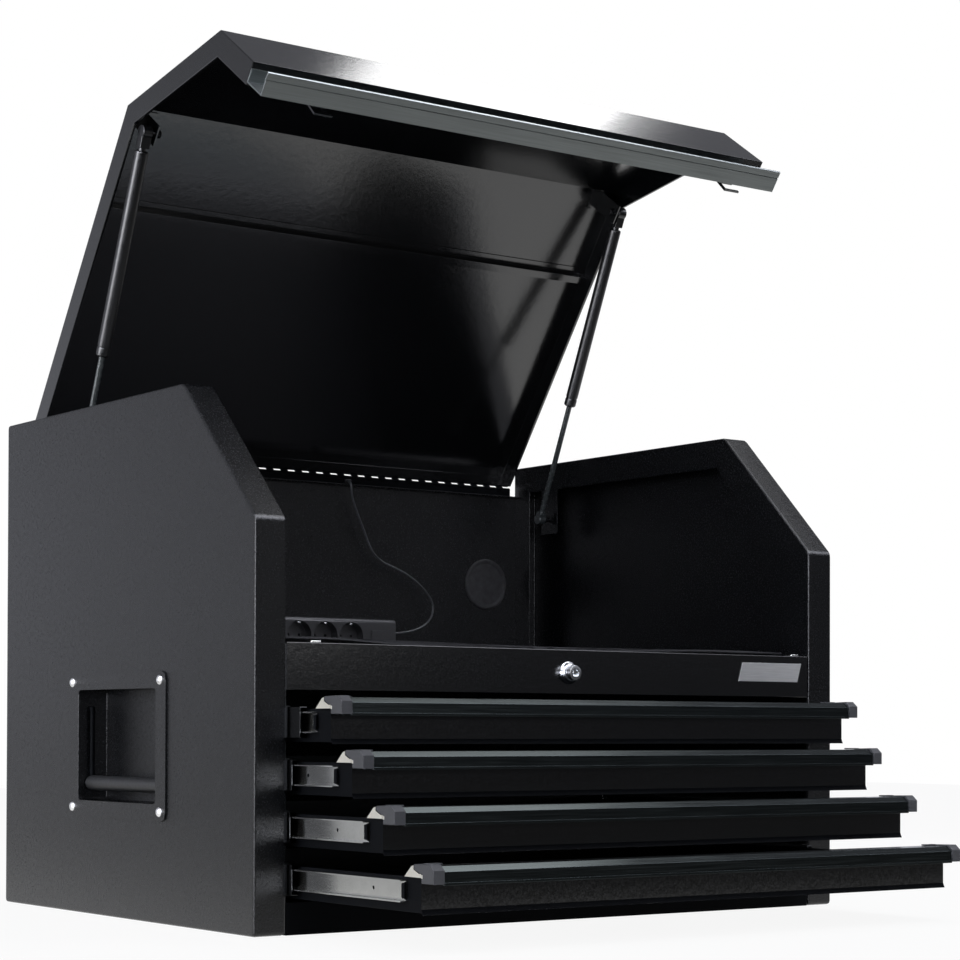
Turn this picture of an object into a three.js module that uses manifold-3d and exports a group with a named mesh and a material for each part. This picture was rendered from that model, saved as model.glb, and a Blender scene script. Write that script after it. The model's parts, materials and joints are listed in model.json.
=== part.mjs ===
// A top tool chest: a steel cabinet with four drawers under a hutch, and a lid on gas struts.
// Millimetres, +Z up. The origin is the middle of the underside, the front faces -Y.
import * as THREE from 'three';
import { mergeVertices } from 'three/addons/utils/BufferGeometryUtils.js';
import Module from 'manifold-3d';

const wasm = await Module();
wasm.setup();

// Cabinet: its side outline is a box with the front top corner cut off by a slope
const cabinetWidth = 914;
const cabinetDepth = 672;
const cabinetHeight = 655;
const frontHeight = 482;
const slopeRun = 172;
const sheet = 1.2;
const fit = 0.3;
const overrun = 3;
const bendRadius = 3;
const outlineRadius = 5;
const bendSteps = 2;
const curveSteps = 2;

// Side panels: an edge flange all round, and a lip behind it
const flangeWidth = 42;
const lipDepth = 41;
const strutTabWidth = 40;
const strutTabDrop = 22;

// Inside the cabinet
const floorHeight = 339;
const linerFront = 3;
const linerFlange = 12;
const rearRecess = 2.9;
const backTop = 609;
const railDepth = 14;
const baseFrontHeight = 38;
const baseFrontSet = 1.5;
const baseReturn = 14;
const baseRearHeight = 24;
const matThickness = 2;
const matFrontSet = 49;
const matRearSet = 55;
const matSideGap = 3;
const matCurlHeight = 7;
const matCurlRun = 40;
const matCurlSpanShares = [0, 0.05, 0.12, 0.19, 0.3, 0.5, 0.64, 0.78, 0.88, 0.96, 1];
const matCurlHeightShares = [0.85, 1, 0.96, 0.45, 0.03, 0, 0.1, 0.66, 0.8, 0.7, 0.6];

// Lock panel and lock
const lockPanelHeight = 55.4;
const lockPanelSet = 1.5;
const lockReturnDepth = 25;
const lockDrop = 29;
const lockBarrelRadius = 9.5;
const lockStandOut = 13;
const lockBarrelReach = 24;
const lockTravel = 7;
const lockSleeveWall = 2.8;
const lockSleeveLength = 30;
const lockBezelWidth = 2.2;
const lockBezelThickness = 2;
const lockNutWidth = 4;
const lockNutLength = 7;
const keyRingOuter = 4.6;
const keyRingInner = 2.9;
const keyRingDepth = 6;
const keyNotchWidth = 1.8;
const lockSides = 16;

// Lid: the cabinet outline again, between the side panels
const lidSideGap = 4;
const lidProud = 2.5;
const lidFlange = 30;
const lidLip = 3;
const lidFrontLow = 385;
const lidRearLow = 627;
const lidOpenAngle = THREE.MathUtils.degToRad(54.4);
const stiffenerPlace = 297.4;
const stiffenerWidth = 11.5;
const stiffenerDepth = 13;
const stiffenerFlange = 11;
const lidPullFront = 3.5;
const lidPullDepth = 30;
const lidPullLow = 344;
const lidPullChamfer = 1;
const lidPullPlate = 2.5;
const lidPullWall = 2;
const lidPullLipDepth = 18;
const lidPullGroovePlace = 8.7;
const lidPullGroove = 1.5;
const lidPullGrooveDepth = 1.2;
const hookDrop = 42.3;
const hookPlateDrop = 23;
const hookWidth = 26;
const hookLegWidth = 3.5;
const hookArmHeight = 3.5;
const hookThickness = 2.5;
const hookLean = THREE.MathUtils.degToRad(9.4);
const hookLeftGap = 77;
const hookRightGap = 84;

// Piano hinge
const hingeHeight = 621;
const hingeSideGap = 10;
const knuckleCount = 65;
const knuckleRadius = 2.8;
const hingePinRadius = 1.1;
const hingeBoreRadius = 1.6;
const leafThickness = 1;
const leafHeight = 28;
const upperNotch = 3;
const lowerNotch = 0.5;
const hingeSides = 6;
const pinSides = 6;

// Gas struts, between a stud on the lid and one on each side panel
const strutSideGap = 18;
const lidStudPlace = 188;
const lidStudHeight = 616;
const sideStudPlace = 580;
const sideStudHeight = 567;
const studRadius = 3.5;
const studHeadRadius = 6;
const studHeadThickness = 3;
const studBracketGap = 4;
const studBracketWidth = 28;
const studBracketDrop = 10;
const studBracketFoot = 20;
const studBracketSheet = 2;
const studNutRadius = 5.5;
const studNutLength = 8;
const strutTubeRadius = 9;
const strutTubeWall = 1.4;
const strutTubeLength = 276.5;
const strutFittingRadius = 9;
const strutFittingWidth = 14;
const strutFittingLength = 20.5;
const strutNeckRadius = 5;
const strutNeckLength = 4;
const strutEyeRadius = 8;
const strutEyeWidth = 12;
const strutEyeLength = 11;
const strutGlandLength = 12;
const strutRodRadius = 4;
const strutRodLength = 250;
const strutPistonLength = 10;
const strutSlack = 0.4;
const strutBoreEnd = 12;
const strutSides = 14;

// Drawers, from the top one down: how far each one is pulled out
const drawerPulledOut = [76.9, 121.4, 184, 258.1];
const drawerLows = [221.4, 160.6, 100.3, 39.9];
const drawerFaceGap = 11.5;
const drawerFaceHeight = 40;
const drawerDepth = 600;
const drawerFloorLift = 2;
const drawerHem = 9;
const drawerHemLip = 3;
const drawerFrontReturn = 13;
const drawerKickHeight = 6;
const drawerKick = 3;
const faceSet = 1;

// Drawer pull: an extrusion over the whole face, with a cap at each end
const pullSideGap = 8.5;
const pullRise = 34;
const pullFront = 25;
const pullHeight = 19;
const pullChamferRun = 7.2;
const pullChamferDrop = 5.8;
const pullBlockRear = -4;
const pullLedge = 6.3;
const pullReach = 27.5;
const pullShoulder = 14.6;
const pullShoulderDrop = 1.3;
const pullTopReach = 11;
const pullBead = 1.4;
const pullGrip = 3;
const capWidth = 15;
const capFront = 27;
const capHeight = 21;
const capChamferRun = 7.8;
const capChamferDrop = 6.3;
const capThroat = 10.8;
const capArmFoot = 0.6;
const capArmRear = 10;
const capArmLow = 15;
const capArmHigh = 20.2;
const capEdge = 1;
const capTongueReach = 17;
const capTongueFront = 2;
const capTongueThickness = 1.6;
const capTongueRoot = 2;

// Ball slides: a rail on the side liner, a middle member, and an inner member on the drawer
const railFront = 4;
const railLength = 556;
const railFlange = 6.2;
const slideHeight = 35.5;
const slideRise = 24.6;
const slideDepth = 9.5;
const slideMiddleLength = 540;
const slideMiddlePark = 30;
const slideMiddlePulledOut = [57.2, 39.5, 35.2, 39.9];
const slideLift = 12.7;
const slideInnerHeight = 24;
const slideInnerFront = 27.5;
const slideInnerLength = 556;
const slideRaceGap = 0.4;
const slideWebGap = 1.5;
const slideNose = 11;
const slideNoseSlant = 5;
const slideHoleRadius = 2.2;
const slideHolePlaces = [65.5, 480];
const slideHoleSides = 8;

// Side handle: a plate and recess, with a bail that hangs in it
const handleFront = 209.5;
const handleLow = 124.7;
const handleWidth = 261.5;
const handleHeight = 184.3;
const handleRim = 25.5;
const handleRimHeight = 21;
const handlePlateThickness = 1.8;
const handleCorner = 12;
const recessCorner = 5;
const recessDepth = 40;
const bailDepth = 16;
const bailPivotDrop = 24;
const bailLength = 96;
const bailRodRadius = 4;
const bailGripRadius = 9.5;
const bailPinRadius = 3;
const bailPinReach = 2.4;
const bailSideGap = 3;
const bailSides = 12;

// Power strip on the back panel, and the thin lead that leaves it
const stripRight = 155;
const stripLength = 251;
const stripDepth = 45;
const stripLow = 343;
const stripHeight = 61;
const stripCorner = 6;
const socketRadius = 20.5;
const socketDepth = 17;
const socketPitch = 45.6;
const socketFirst = 35;
const socketCount = 4;
const socketRise = 35;
const socketPinRadius = 2.4;
const socketPinSpacing = 19;
const socketPinDepth = 9;
const socketSides = 24;
const switchPlace = 220;
const switchWidth = 26;
const switchHeight = 18;
const switchRise = 3;
const switchInset = 1.5;
const leadRadius = 1.6;
const leadExitRise = 42;
const leadExitSet = 20;
const reliefRadius = 3.6;
const reliefLength = 8;
const leadSteps = 48;
const leadSides = 4;
const reliefSides = 8;
const leadStraight = 6.4;
const leadEnd = 4.8;
const clipPlace = 89.5;
const clipWidth = 12;
const clipHeight = 7;
const clipDepth = 9;

// Rubber cable grommet in the back panel
const grommetSideGap = 59;
const grommetHeight = 468;
const grommetRadius = 37;
const grommetRim = 3;
const grommetRimThickness = 3;
const grommetSlit = 1.5;
const grommetSlitLength = 56;
const grommetSides = 32;

// Places that follow from the sizes above
const halfWidth = cabinetWidth / 2;
const lipPlane = halfWidth - flangeWidth;
const linerPlane = lipPlane - fit;
const linerFace = linerPlane - sheet;
const backRear = cabinetDepth - rearRecess;
const backFront = backRear - sheet;
const lidHalf = lipPlane - lidSideGap;
const lidInnerHalf = lidHalf - sheet;
const lidTop = cabinetHeight + lidProud;
const hookPlaces = [hookLeftGap - lidHalf, lidHalf - hookRightGap];
const hingeHalf = lipPlane - hingeSideGap;
const hingeLength = 2 * hingeHalf;
const strutPlane = lipPlane - strutSideGap;
const slideWeb = linerFace - fit;
const drawerHalf = slideWeb - slideLift - fit;
const faceHalf = linerFace - drawerFaceGap;
const pullHalf = linerFace - pullSideGap;
const grommetPlace = lipPlane - grommetSideGap;
const leafFront = backRear + fit;
const hingePlace = leafFront + knuckleRadius;
const lockHeight = floorHeight - lockDrop;
const lockHoleRadius = lockBarrelRadius + fit + lockSleeveWall + fit;
const leadExitHeight = stripLow + leadExitRise;
const stripRear = backFront - fit;
const leadPlace = stripRear - leadExitSet;

const palette = {
  powderCoat: [0x17181a, 0.55, 0.1],
  glossCoat: [0x0d0e10, 0.25, 0.1],
  zinc: [0xc9cbcd, 0.3, 0.9],
  chrome: [0xd8dadd, 0.12, 1],
  blackPlastic: [0x151515, 0.6, 0],
  capPlastic: [0x3a3a3c, 0.75, 0],
  pullMetal: [0x24272a, 0.45, 0.6],
  rubber: [0x1a1a1a, 0.85, 0],
  strutTube: [0x15171a, 0.3, 0.5],
};

function material(finish) {
  const [color, roughness, metalness] = palette[finish];
  return new THREE.MeshStandardMaterial({ color, roughness, metalness });
}

// A closed geometry as a solid that can be joined and cut
function solid(geometry) {
  const bare = geometry.clone();
  bare.deleteAttribute('normal');
  bare.deleteAttribute('uv');
  const merged = mergeVertices(bare);
  return new wasm.Manifold(new wasm.Mesh({
    numProp: 3,
    vertProperties: new Float32Array(merged.attributes.position.array),
    triVerts: new Uint32Array(merged.index.array),
  }));
}

function join(first, ...others) {
  return others.reduce((sum, other) => sum.add(other), first);
}

function cut(first, ...tools) {
  return tools.reduce((rest, tool) => rest.subtract(tool), first);
}

function geometryOf(body) {
  const { vertProperties, triVerts } = body.getMesh();
  const geometry = new THREE.BufferGeometry();
  geometry.setAttribute('position', new THREE.BufferAttribute(new Float32Array(vertProperties), 3));
  geometry.setIndex(new THREE.BufferAttribute(new Uint32Array(triVerts), 1));
  geometry.computeVertexNormals();
  return geometry;
}

// The same piece for the left side, with its triangles turned to face outwards again
function leftHand(geometry) {
  const copy = geometry.clone().scale(-1, 1, 1);
  const order = copy.index.array;
  for (let i = 0; i < order.length; i += 3) {
    [order[i], order[i + 2]] = [order[i + 2], order[i]];
  }
  copy.computeVertexNormals();
  return copy;
}

function piece(name, body, finish, side = 'right') {
  const geometry = geometryOf(body);
  const mesh = new THREE.Mesh(side === 'left' ? leftHand(geometry) : geometry, material(finish));
  mesh.name = name;
  return mesh;
}

function pair(name, body, finish) {
  return ['left', 'right'].map((side) => piece(`${name}_${side}`, body, finish, side));
}

function points(...pairs) {
  return pairs.map(([across, up]) => new THREE.Vector2(across, up));
}

function leftNormal(from, to) {
  const along = to.clone().sub(from).normalize();
  return new THREE.Vector2(-along.y, along.x);
}

// Moves each edge of an outline to its left, which is inwards where it runs anticlockwise
function inset(outline, distance, closed = true) {
  const count = outline.length;
  return outline.map((point, i) => {
    const normals = [];
    if (closed || i > 0) normals.push(leftNormal(outline[(i + count - 1) % count], point));
    if (closed || i < count - 1) normals.push(leftNormal(point, outline[(i + 1) % count]));
    const [first, last] = [normals[0], normals[normals.length - 1]];
    return point.clone().addScaledVector(first.clone().add(last), distance / (1 + first.dot(last)));
  });
}

function shape(outline) {
  return new THREE.Shape(outline);
}

// An outline whose corners are rounded, each arc starting at the radius from its corner
function roundedShape(outline, radius) {
  const result = new THREE.Shape();
  outline.forEach((corner, i) => {
    const before = outline[(i + outline.length - 1) % outline.length];
    const after = outline[(i + 1) % outline.length];
    const start = corner.clone().add(before.clone().sub(corner).setLength(radius));
    const end = corner.clone().add(after.clone().sub(corner).setLength(radius));
    if (i === 0) result.moveTo(start.x, start.y);
    else result.lineTo(start.x, start.y);
    result.quadraticCurveTo(corner.x, corner.y, end.x, end.y);
  });
  return result;
}

function extruded(profile, depth, bend = 0) {
  return new THREE.ExtrudeGeometry(profile, {
    depth: depth - 2 * bend,
    bevelEnabled: bend > 0,
    bevelThickness: bend,
    bevelSize: bend,
    bevelOffset: -bend,
    bevelSegments: bendSteps,
    curveSegments: curveSteps,
  }).translate(0, 0, bend);
}

// A profile drawn in (y, z) and run along x
function alongX(profile, from, to, bend = 0) {
  const turn = new THREE.Matrix4().makeBasis(
    new THREE.Vector3(0, 1, 0), new THREE.Vector3(0, 0, 1), new THREE.Vector3(1, 0, 0));
  return solid(extruded(profile, to - from, bend).translate(0, 0, from).applyMatrix4(turn));
}

// A profile drawn in (x, z) and run along y
function alongY(profile, from, to) {
  return solid(extruded(profile, to - from).translate(0, 0, -to).rotateX(Math.PI / 2));
}

// A profile drawn in (x, y) and run along z
function alongZ(profile, from, to) {
  return solid(extruded(profile, to - from).translate(0, 0, from));
}

function block([left, right], [front, rear], [low, high]) {
  const geometry = new THREE.BoxGeometry(right - left, rear - front, high - low);
  return solid(geometry.translate((left + right) / 2, (front + rear) / 2, (low + high) / 2));
}

// A round bar on the line through centre, from one place to another along x, y or z
function bar(axis, radius, from, to, centre, sides) {
  const geometry = new THREE.CylinderGeometry(radius, radius, to - from, sides);
  geometry.translate(0, (from + to) / 2, 0);
  if (axis === 'x') geometry.rotateZ(-Math.PI / 2);
  if (axis === 'z') geometry.rotateX(Math.PI / 2);
  return solid(geometry.translate(...centre));
}

// A turned body about the y axis; its profile is (radius, y), from the low end outside to the top
function turned(profile, sides) {
  return solid(new THREE.LatheGeometry(points(...profile), sides));
}

// The cabinet's side outline in (y, z), anticlockwise, moved out by a little
function cabinetOutline(proud = 0) {
  return inset(points(
    [0, 0],
    [cabinetDepth, 0],
    [cabinetDepth, cabinetHeight],
    [slopeRun, cabinetHeight],
    [0, frontHeight],
  ), -proud);
}

function sidePanel() {
  const outline = cabinetOutline();
  const outer = alongX(roundedShape(outline, outlineRadius), lipPlane, halfWidth, bendRadius);
  const hollow = alongX(
    roundedShape(inset(outline, sheet), outlineRadius - sheet),
    lipPlane + sheet, halfWidth - sheet, bendRadius - sheet);
  const mouth = alongX(shape(inset(outline, lipDepth)), lipPlane - overrun, lipPlane + sheet + overrun);
  const tabTop = cabinetHeight - lipDepth + overrun;
  const tab = block(
    [lipPlane, lipPlane + sheet],
    [sideStudPlace - strutTabWidth / 2, sideStudPlace + strutTabWidth / 2],
    [sideStudHeight - strutTabDrop, tabTop]);
  const studCentre = [0, sideStudPlace, sideStudHeight];
  const studEnd = strutPlane + strutEyeWidth / 2 + strutSlack;
  const stud = bar('x', studRadius, studEnd, lipPlane + sheet / 2, studCentre, strutSides);
  const head = bar('x', studHeadRadius, studEnd, studEnd + studHeadThickness, studCentre, strutSides);
  const recess = handleOpening(-sheet - fit);
  const window = alongX(shape(recess), halfWidth - sheet - overrun, halfWidth + overrun);
  return join(cut(outer, hollow, mouth, window), tab, stud, head);
}

// The opening of the handle recess in (y, z), made smaller by a distance
function handleOpening(distance) {
  const [front, low] = [handleFront + handleRim, handleLow + handleRimHeight];
  const [rear, high] = [
    handleFront + handleWidth - handleRim,
    handleLow + handleHeight - handleRimHeight,
  ];
  return inset(points([front, low], [rear, low], [rear, high], [front, high]), distance);
}

// The liner carries the fixed rails: two flanges each, between which a middle member slides
function sideLiner() {
  const top = floorHeight - sheet - fit;
  const rear = backFront - fit - baseReturn;
  const rails = drawerLows.flatMap((low) => {
    const centre = low + slideRise;
    const near = slideHeight / 2 + fit;
    return [[centre - near - sheet, centre - near], [centre + near, centre + near + sheet]]
      .map((span) => block([linerFace - railFlange, linerFace + sheet / 2],
        [railFront, railFront + railLength], span));
  });
  const panel = alongY(shape(points(
    [linerPlane, sheet + fit],
    [linerPlane, top],
    [linerFace - linerFlange, top],
    [linerFace - linerFlange, top - sheet],
    [linerFace, top - sheet],
    [linerFace, sheet + fit],
  )), linerFront, rear);
  return join(panel, ...rails);
}

function backPanel() {
  const half = lipPlane - fit;
  const low = sheet + fit;
  const profile = shape(points(
    [backFront, low],
    [backRear, low],
    [backRear, backTop],
    [backRear - railDepth, backTop],
    [backRear - railDepth, backTop - sheet],
    [backFront, backTop - sheet],
  ));
  const hole = bar('y', grommetRadius + fit, backFront - overrun, backRear + overrun,
    [grommetPlace, 0, grommetHeight], grommetSides);
  const clip = block(
    [clipPlace - clipWidth / 2, clipPlace + clipWidth / 2],
    [backRear - railDepth, backRear - railDepth + clipDepth],
    [backTop - sheet, backTop + clipHeight]);
  return join(cut(alongX(profile, -half, half), hole), clip);
}

function basePan() {
  const half = linerFace - fit;
  const [front, rear] = [baseFrontSet, backFront - fit];
  const outer = shape(points(
    [front, 0],
    [rear, 0],
    [rear, baseRearHeight],
    [rear - sheet, baseRearHeight],
    [rear - sheet, sheet],
    [front + sheet, sheet],
    [front + sheet, baseFrontHeight - sheet],
    [front + baseReturn, baseFrontHeight - sheet],
    [front + baseReturn, baseFrontHeight],
    [front, baseFrontHeight],
  ));
  return alongX(outer, -half, half);
}

// The hutch floor lies over the liners and is notched round the lips of the side panels
function hutchFloor() {
  const lipRear = cabinetDepth - lipDepth;
  const wide = halfWidth - sheet - fit;
  const narrow = lipPlane - fit;
  const frontEdge = lipDepth + fit;
  const half = [
    [narrow, frontEdge],
    [wide, frontEdge],
    [wide, lipRear - fit],
    [narrow, lipRear - fit],
    [narrow, backFront - fit],
  ];
  const mirror = half.map(([across, back]) => [-across, back]).reverse();
  return alongZ(shape(points(...half, ...mirror)), floorHeight - sheet, floorHeight);
}

// A loose mat whose front edge has curled up in long waves
function hutchMat() {
  const half = linerFace - matSideGap;
  const [front, rear] = [matFrontSet, stripRear - matRearSet];
  const low = floorHeight + fit;
  const curlRear = front + matCurlRun;
  const across = matCurlSpanShares.map((share) => half * (2 * share - 1));
  const lift = matCurlHeightShares.map((share) => matCurlHeight * share);
  const rows = [[front, 1], [(front + curlRear) / 2, 1 / 3], [curlRear, 0], [rear, 0]];
  const positions = [];
  for (const top of [0, matThickness]) {
    for (const [back, share] of rows) {
      across.forEach((x, i) => positions.push(x, back, low + top + lift[i] * share));
    }
  }
  return solid(gridSheet(positions, across.length, rows.length));
}

// Closes a lower and an upper grid of points, given row by row, into a thin solid
function gridSheet(positions, columns, rows) {
  const index = [];
  const at = (layer, row, column) => (layer * rows + row) * columns + column;
  const quad = (a, b, c, d) => index.push(a, b, c, a, c, d);
  for (let row = 0; row < rows - 1; row += 1) {
    for (let column = 0; column < columns - 1; column += 1) {
      quad(at(0, row, column), at(0, row + 1, column),
        at(0, row + 1, column + 1), at(0, row, column + 1));
      quad(at(1, row, column), at(1, row, column + 1),
        at(1, row + 1, column + 1), at(1, row + 1, column));
    }
  }
  for (let column = 0; column < columns - 1; column += 1) {
    const last = rows - 1;
    quad(at(0, 0, column), at(0, 0, column + 1), at(1, 0, column + 1), at(1, 0, column));
    quad(at(0, last, column + 1), at(0, last, column), at(1, last, column), at(1, last, column + 1));
  }
  for (let row = 0; row < rows - 1; row += 1) {
    const last = columns - 1;
    quad(at(0, row + 1, 0), at(0, row, 0), at(1, row, 0), at(1, row + 1, 0));
    quad(at(0, row, last), at(0, row + 1, last), at(1, row + 1, last), at(1, row, last));
  }
  const geometry = new THREE.BufferGeometry();
  geometry.setAttribute('position', new THREE.Float32BufferAttribute(positions, 3));
  geometry.setIndex(index);
  return geometry;
}

function lockPanel() {
  const half = linerFace - fit;
  const [front, low] = [lockPanelSet, floorHeight - lockPanelHeight];
  const profile = shape(points(
    [front, low],
    [front + lockReturnDepth, low],
    [front + lockReturnDepth, low + sheet],
    [front + sheet, low + sheet],
    [front + sheet, floorHeight - sheet],
    [lipDepth, floorHeight - sheet],
    [lipDepth, floorHeight],
    [front, floorHeight],
  ));
  const hole = bar('y', lockHoleRadius, front - overrun, front + sheet + overrun,
    [0, 0, lockHeight], lockSides);
  return cut(alongX(profile, -half, half), hole);
}

// A sleeve through the lock panel, with a bezel in front and a nut behind
function lockHousing() {
  const bore = lockBarrelRadius + fit;
  const sleeve = bore + lockSleeveWall;
  const face = lockPanelSet - fit;
  const back = lockPanelSet + sheet + fit;
  return turned([
    [bore, face - lockBezelThickness],
    [sleeve + lockBezelWidth - lockBezelThickness, face - lockBezelThickness],
    [sleeve + lockBezelWidth, face - lockBezelThickness / 2],
    [sleeve + lockBezelWidth, face],
    [sleeve, face],
    [sleeve, back],
    [sleeve + lockNutWidth, back],
    [sleeve + lockNutWidth, back + lockNutLength],
    [sleeve, back + lockNutLength],
    [sleeve, lockSleeveLength],
    [bore, lockSleeveLength],
    [bore, face - lockBezelThickness],
  ], lockSides);
}

// The barrel has the ring-shaped keyway of a tubular lock
function lockBarrel() {
  const front = -lockStandOut;
  const body = turned([
    [0, front],
    [lockBarrelRadius - fit, front],
    [lockBarrelRadius, front + fit],
    [lockBarrelRadius, front + lockStandOut + lockBarrelReach],
    [0, front + lockStandOut + lockBarrelReach],
  ], lockSides);
  const ring = turned([
    [keyRingInner, front - overrun],
    [keyRingOuter, front - overrun],
    [keyRingOuter, front + keyRingDepth],
    [keyRingInner, front + keyRingDepth],
    [keyRingInner, front - overrun],
  ], lockSides);
  const notch = block(
    [-keyNotchWidth / 2, keyNotchWidth / 2],
    [front - overrun, front + keyRingDepth],
    [keyRingInner, keyRingOuter + keyNotchWidth]);
  return cut(body, ring, notch);
}

// The lid's outline in (y, z) when shut, from the rear edge round to the front edge
function lidOutline() {
  const [, , , slopeTop, slopeFoot] = cabinetOutline(lidProud);
  return points(
    [backRear, lidRearLow],
    [backRear, lidTop],
    [slopeTop.x, slopeTop.y],
    [slopeFoot.x, slopeFoot.y],
    [slopeFoot.x, lidFrontLow],
  );
}

function band(outline, near, far) {
  const outside = near === 0 ? outline : inset(outline, near, false);
  return [...outside, ...inset(outline, far, false).reverse()];
}

function lidShell() {
  const outline = lidOutline();
  const outer = alongX(shape(band(outline, 0, lidFlange)), -lidHalf, lidHalf, bendRadius / 2);
  const inner = outline.map((point) => point.clone());
  inner[0].y -= overrun;
  inner[inner.length - 1].y += sheet;
  const hollow = alongX(shape(band(inner, sheet, lidFlange - sheet)), -lidInnerHalf, lidInnerHalf);
  const lipHalf = lidInnerHalf - lidLip;
  const mouth = alongX(shape(band(inner, lidFlange / 2, lidFlange + overrun)), -lipHalf, lipHalf);
  const right = lidStrutBracket();
  const left = solid(leftHand(geometryOf(right)));
  return join(cut(outer, hollow, mouth), right, left, ...hookPlaces.map(lockHook));
}

// An angle under the lid's top, whose stud points outwards to the strut
function lidStrutBracket() {
  const outside = strutPlane - strutFittingWidth / 2 - studBracketGap;
  const inside = outside - studBracketSheet;
  const under = lidTop - sheet;
  const span = [lidStudPlace - studBracketWidth / 2, lidStudPlace + studBracketWidth / 2];
  const plate = block([inside, outside], span, [lidStudHeight - studBracketDrop, under + sheet / 2]);
  const foot = block([outside - studBracketFoot, outside], span,
    [under - studBracketSheet, under + sheet / 2]);
  const centre = [0, lidStudPlace, lidStudHeight];
  const nut = bar('x', studNutRadius, inside - studNutLength, inside + overrun / 2, centre, pinSides);
  const stud = bar('x', studRadius, inside, strutPlane, centre, strutSides);
  return join(plate, foot, nut, stud);
}

// A hook plate that leans back under the lid's front flange, with an arm at its foot
function lockHook(place) {
  const root = new THREE.Vector2(lidOutline()[4].x + lidFlange, lidFrontLow + sheet / 2);
  const [leg, far] = [place + hookLegWidth, place + hookWidth];
  const plate = alongY(shape(points(
    [place, -hookDrop],
    [far, -hookDrop],
    [far, hookArmHeight - hookDrop],
    [leg, hookArmHeight - hookDrop],
    [leg, -hookPlateDrop],
    [far, -hookPlateDrop],
    [far, 0],
    [place, 0],
  )), -hookThickness, 0);
  return solid(geometryOf(plate).rotateX(hookLean).translate(0, root.x, root.y));
}

function lidStiffener() {
  const half = lidInnerHalf - fit;
  const top = lidTop - sheet - fit;
  const low = top - stiffenerDepth;
  const [front, rear] = [stiffenerPlace, stiffenerPlace + stiffenerWidth];
  const lipRear = rear - sheet + stiffenerFlange;
  const profile = shape(points(
    [rear - sheet, low],
    [lipRear, low],
    [lipRear, low + sheet],
    [rear, low + sheet],
    [rear, top],
    [front, top],
    [front, top - sheet],
    [rear - sheet, top - sheet],
  ));
  return alongX(profile, -half, half);
}

// The lid's grip: a channel under its front edge, open to the front for the fingers
function lidPull() {
  const front = -lidProud - lidPullFront;
  const rear = front + lidPullDepth;
  const [low, high] = [lidPullLow, lidFrontLow - fit];
  const groove = front + lidPullGroovePlace;
  const lip = rear - lidPullLipDepth;
  return alongX(shape(points(
    [front + lidPullChamfer, low],
    [groove, low],
    [groove, low + lidPullGrooveDepth],
    [groove + lidPullGroove, low + lidPullGrooveDepth],
    [groove + lidPullGroove, low],
    [rear, low],
    [rear, high],
    [lip, high],
    [lip, high - lidPullWall],
    [rear - lidPullWall, high - lidPullWall],
    [rear - lidPullWall, low + lidPullPlate],
    [front, low + lidPullPlate],
    [front, low + lidPullChamfer],
  )), -lidHalf, lidHalf);
}

// One knuckle's profile: its barrel, and the strip that ties it to its leaf below
function knuckleShape(reach, bored) {
  const radius = knuckleRadius;
  const drop = Math.sqrt(radius ** 2 - (radius - leafThickness) ** 2);
  const from = Math.atan2(-drop, leafThickness - radius);
  const outline = points([hingePlace - radius + leafThickness, -reach]);
  for (let i = 0; i <= hingeSides; i += 1) {
    outline.push(onHinge(radius, from + (Math.PI - from) * (i / hingeSides)));
  }
  outline.push(new THREE.Vector2(hingePlace - radius, -reach));
  const result = shape(outline);
  if (bored) {
    const turns = Array.from({ length: hingeSides }, (_, i) => -Math.PI * 2 * (i / hingeSides));
    result.holes.push(new THREE.Path(turns.map((turn) => onHinge(hingeBoreRadius, turn))));
  }
  return result;
}

function onHinge(radius, angle) {
  return new THREE.Vector2(hingePlace + radius * Math.cos(angle), radius * Math.sin(angle));
}

// Knuckles of one leaf, every second one of the row
function knuckles(first, reach, bored) {
  const pitch = hingeLength / knuckleCount;
  const row = [];
  for (let i = first; i < knuckleCount; i += 2) {
    const from = i * pitch - hingeHalf + (i > 0 ? fit / 2 : 0);
    const to = (i + 1) * pitch - hingeHalf - (i < knuckleCount - 1 ? fit / 2 : 0);
    row.push(alongX(knuckleShape(reach, bored), from, to));
  }
  return row;
}

function leafSheet(notch) {
  const near = knuckleRadius + notch;
  return block([-hingeHalf, hingeHalf], [leafFront, leafFront + leafThickness],
    [-leafHeight, -near]);
}

function hingeLowerLeaf() {
  const reach = knuckleRadius + lowerNotch + leafThickness;
  return join(leafSheet(lowerNotch), ...knuckles(0, reach, true));
}

// The upper leaf is made like the lower one, turned over, and holds the pin
function hingeUpperLeaf() {
  const reach = knuckleRadius + upperNotch + leafThickness;
  const leaf = join(leafSheet(upperNotch), ...knuckles(1, reach, false));
  const over = geometryOf(leaf).scale(1, 1, -1);
  const order = over.index.array;
  for (let i = 0; i < order.length; i += 3) {
    [order[i], order[i + 2]] = [order[i + 2], order[i]];
  }
  const pin = bar('x', hingePinRadius, -hingeHalf, hingeHalf, [0, hingePlace, 0], pinSides);
  return join(solid(over), pin);
}

// Strut pieces lie along +y from their own stud
function strutTube() {
  const near = strutFittingLength + strutNeckLength;
  const end = near + strutTubeLength;
  const gland = strutRodRadius + strutSlack;
  const bore = strutTubeRadius - strutTubeWall;
  const tube = turned([
    [0, strutFittingLength - fit],
    [strutNeckRadius, strutFittingLength - fit],
    [strutNeckRadius, near],
    [strutTubeRadius, near],
    [strutTubeRadius, end],
    [gland, end],
    [gland, end - strutGlandLength],
    [bore, end - strutGlandLength],
    [bore, near + strutBoreEnd],
    [0, near + strutBoreEnd],
  ], strutSides);
  const half = strutFittingWidth / 2;
  const eye = bar('x', strutFittingRadius, -half, half, [0, 0, 0], strutSides);
  const fitting = block([-half, half], [0, strutFittingLength], [-half, half]);
  const socket = bar('x', studRadius + strutSlack, -half - overrun, fit, [0, 0, 0], strutSides);
  return cut(join(tube, eye, fitting), socket);
}

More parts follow.
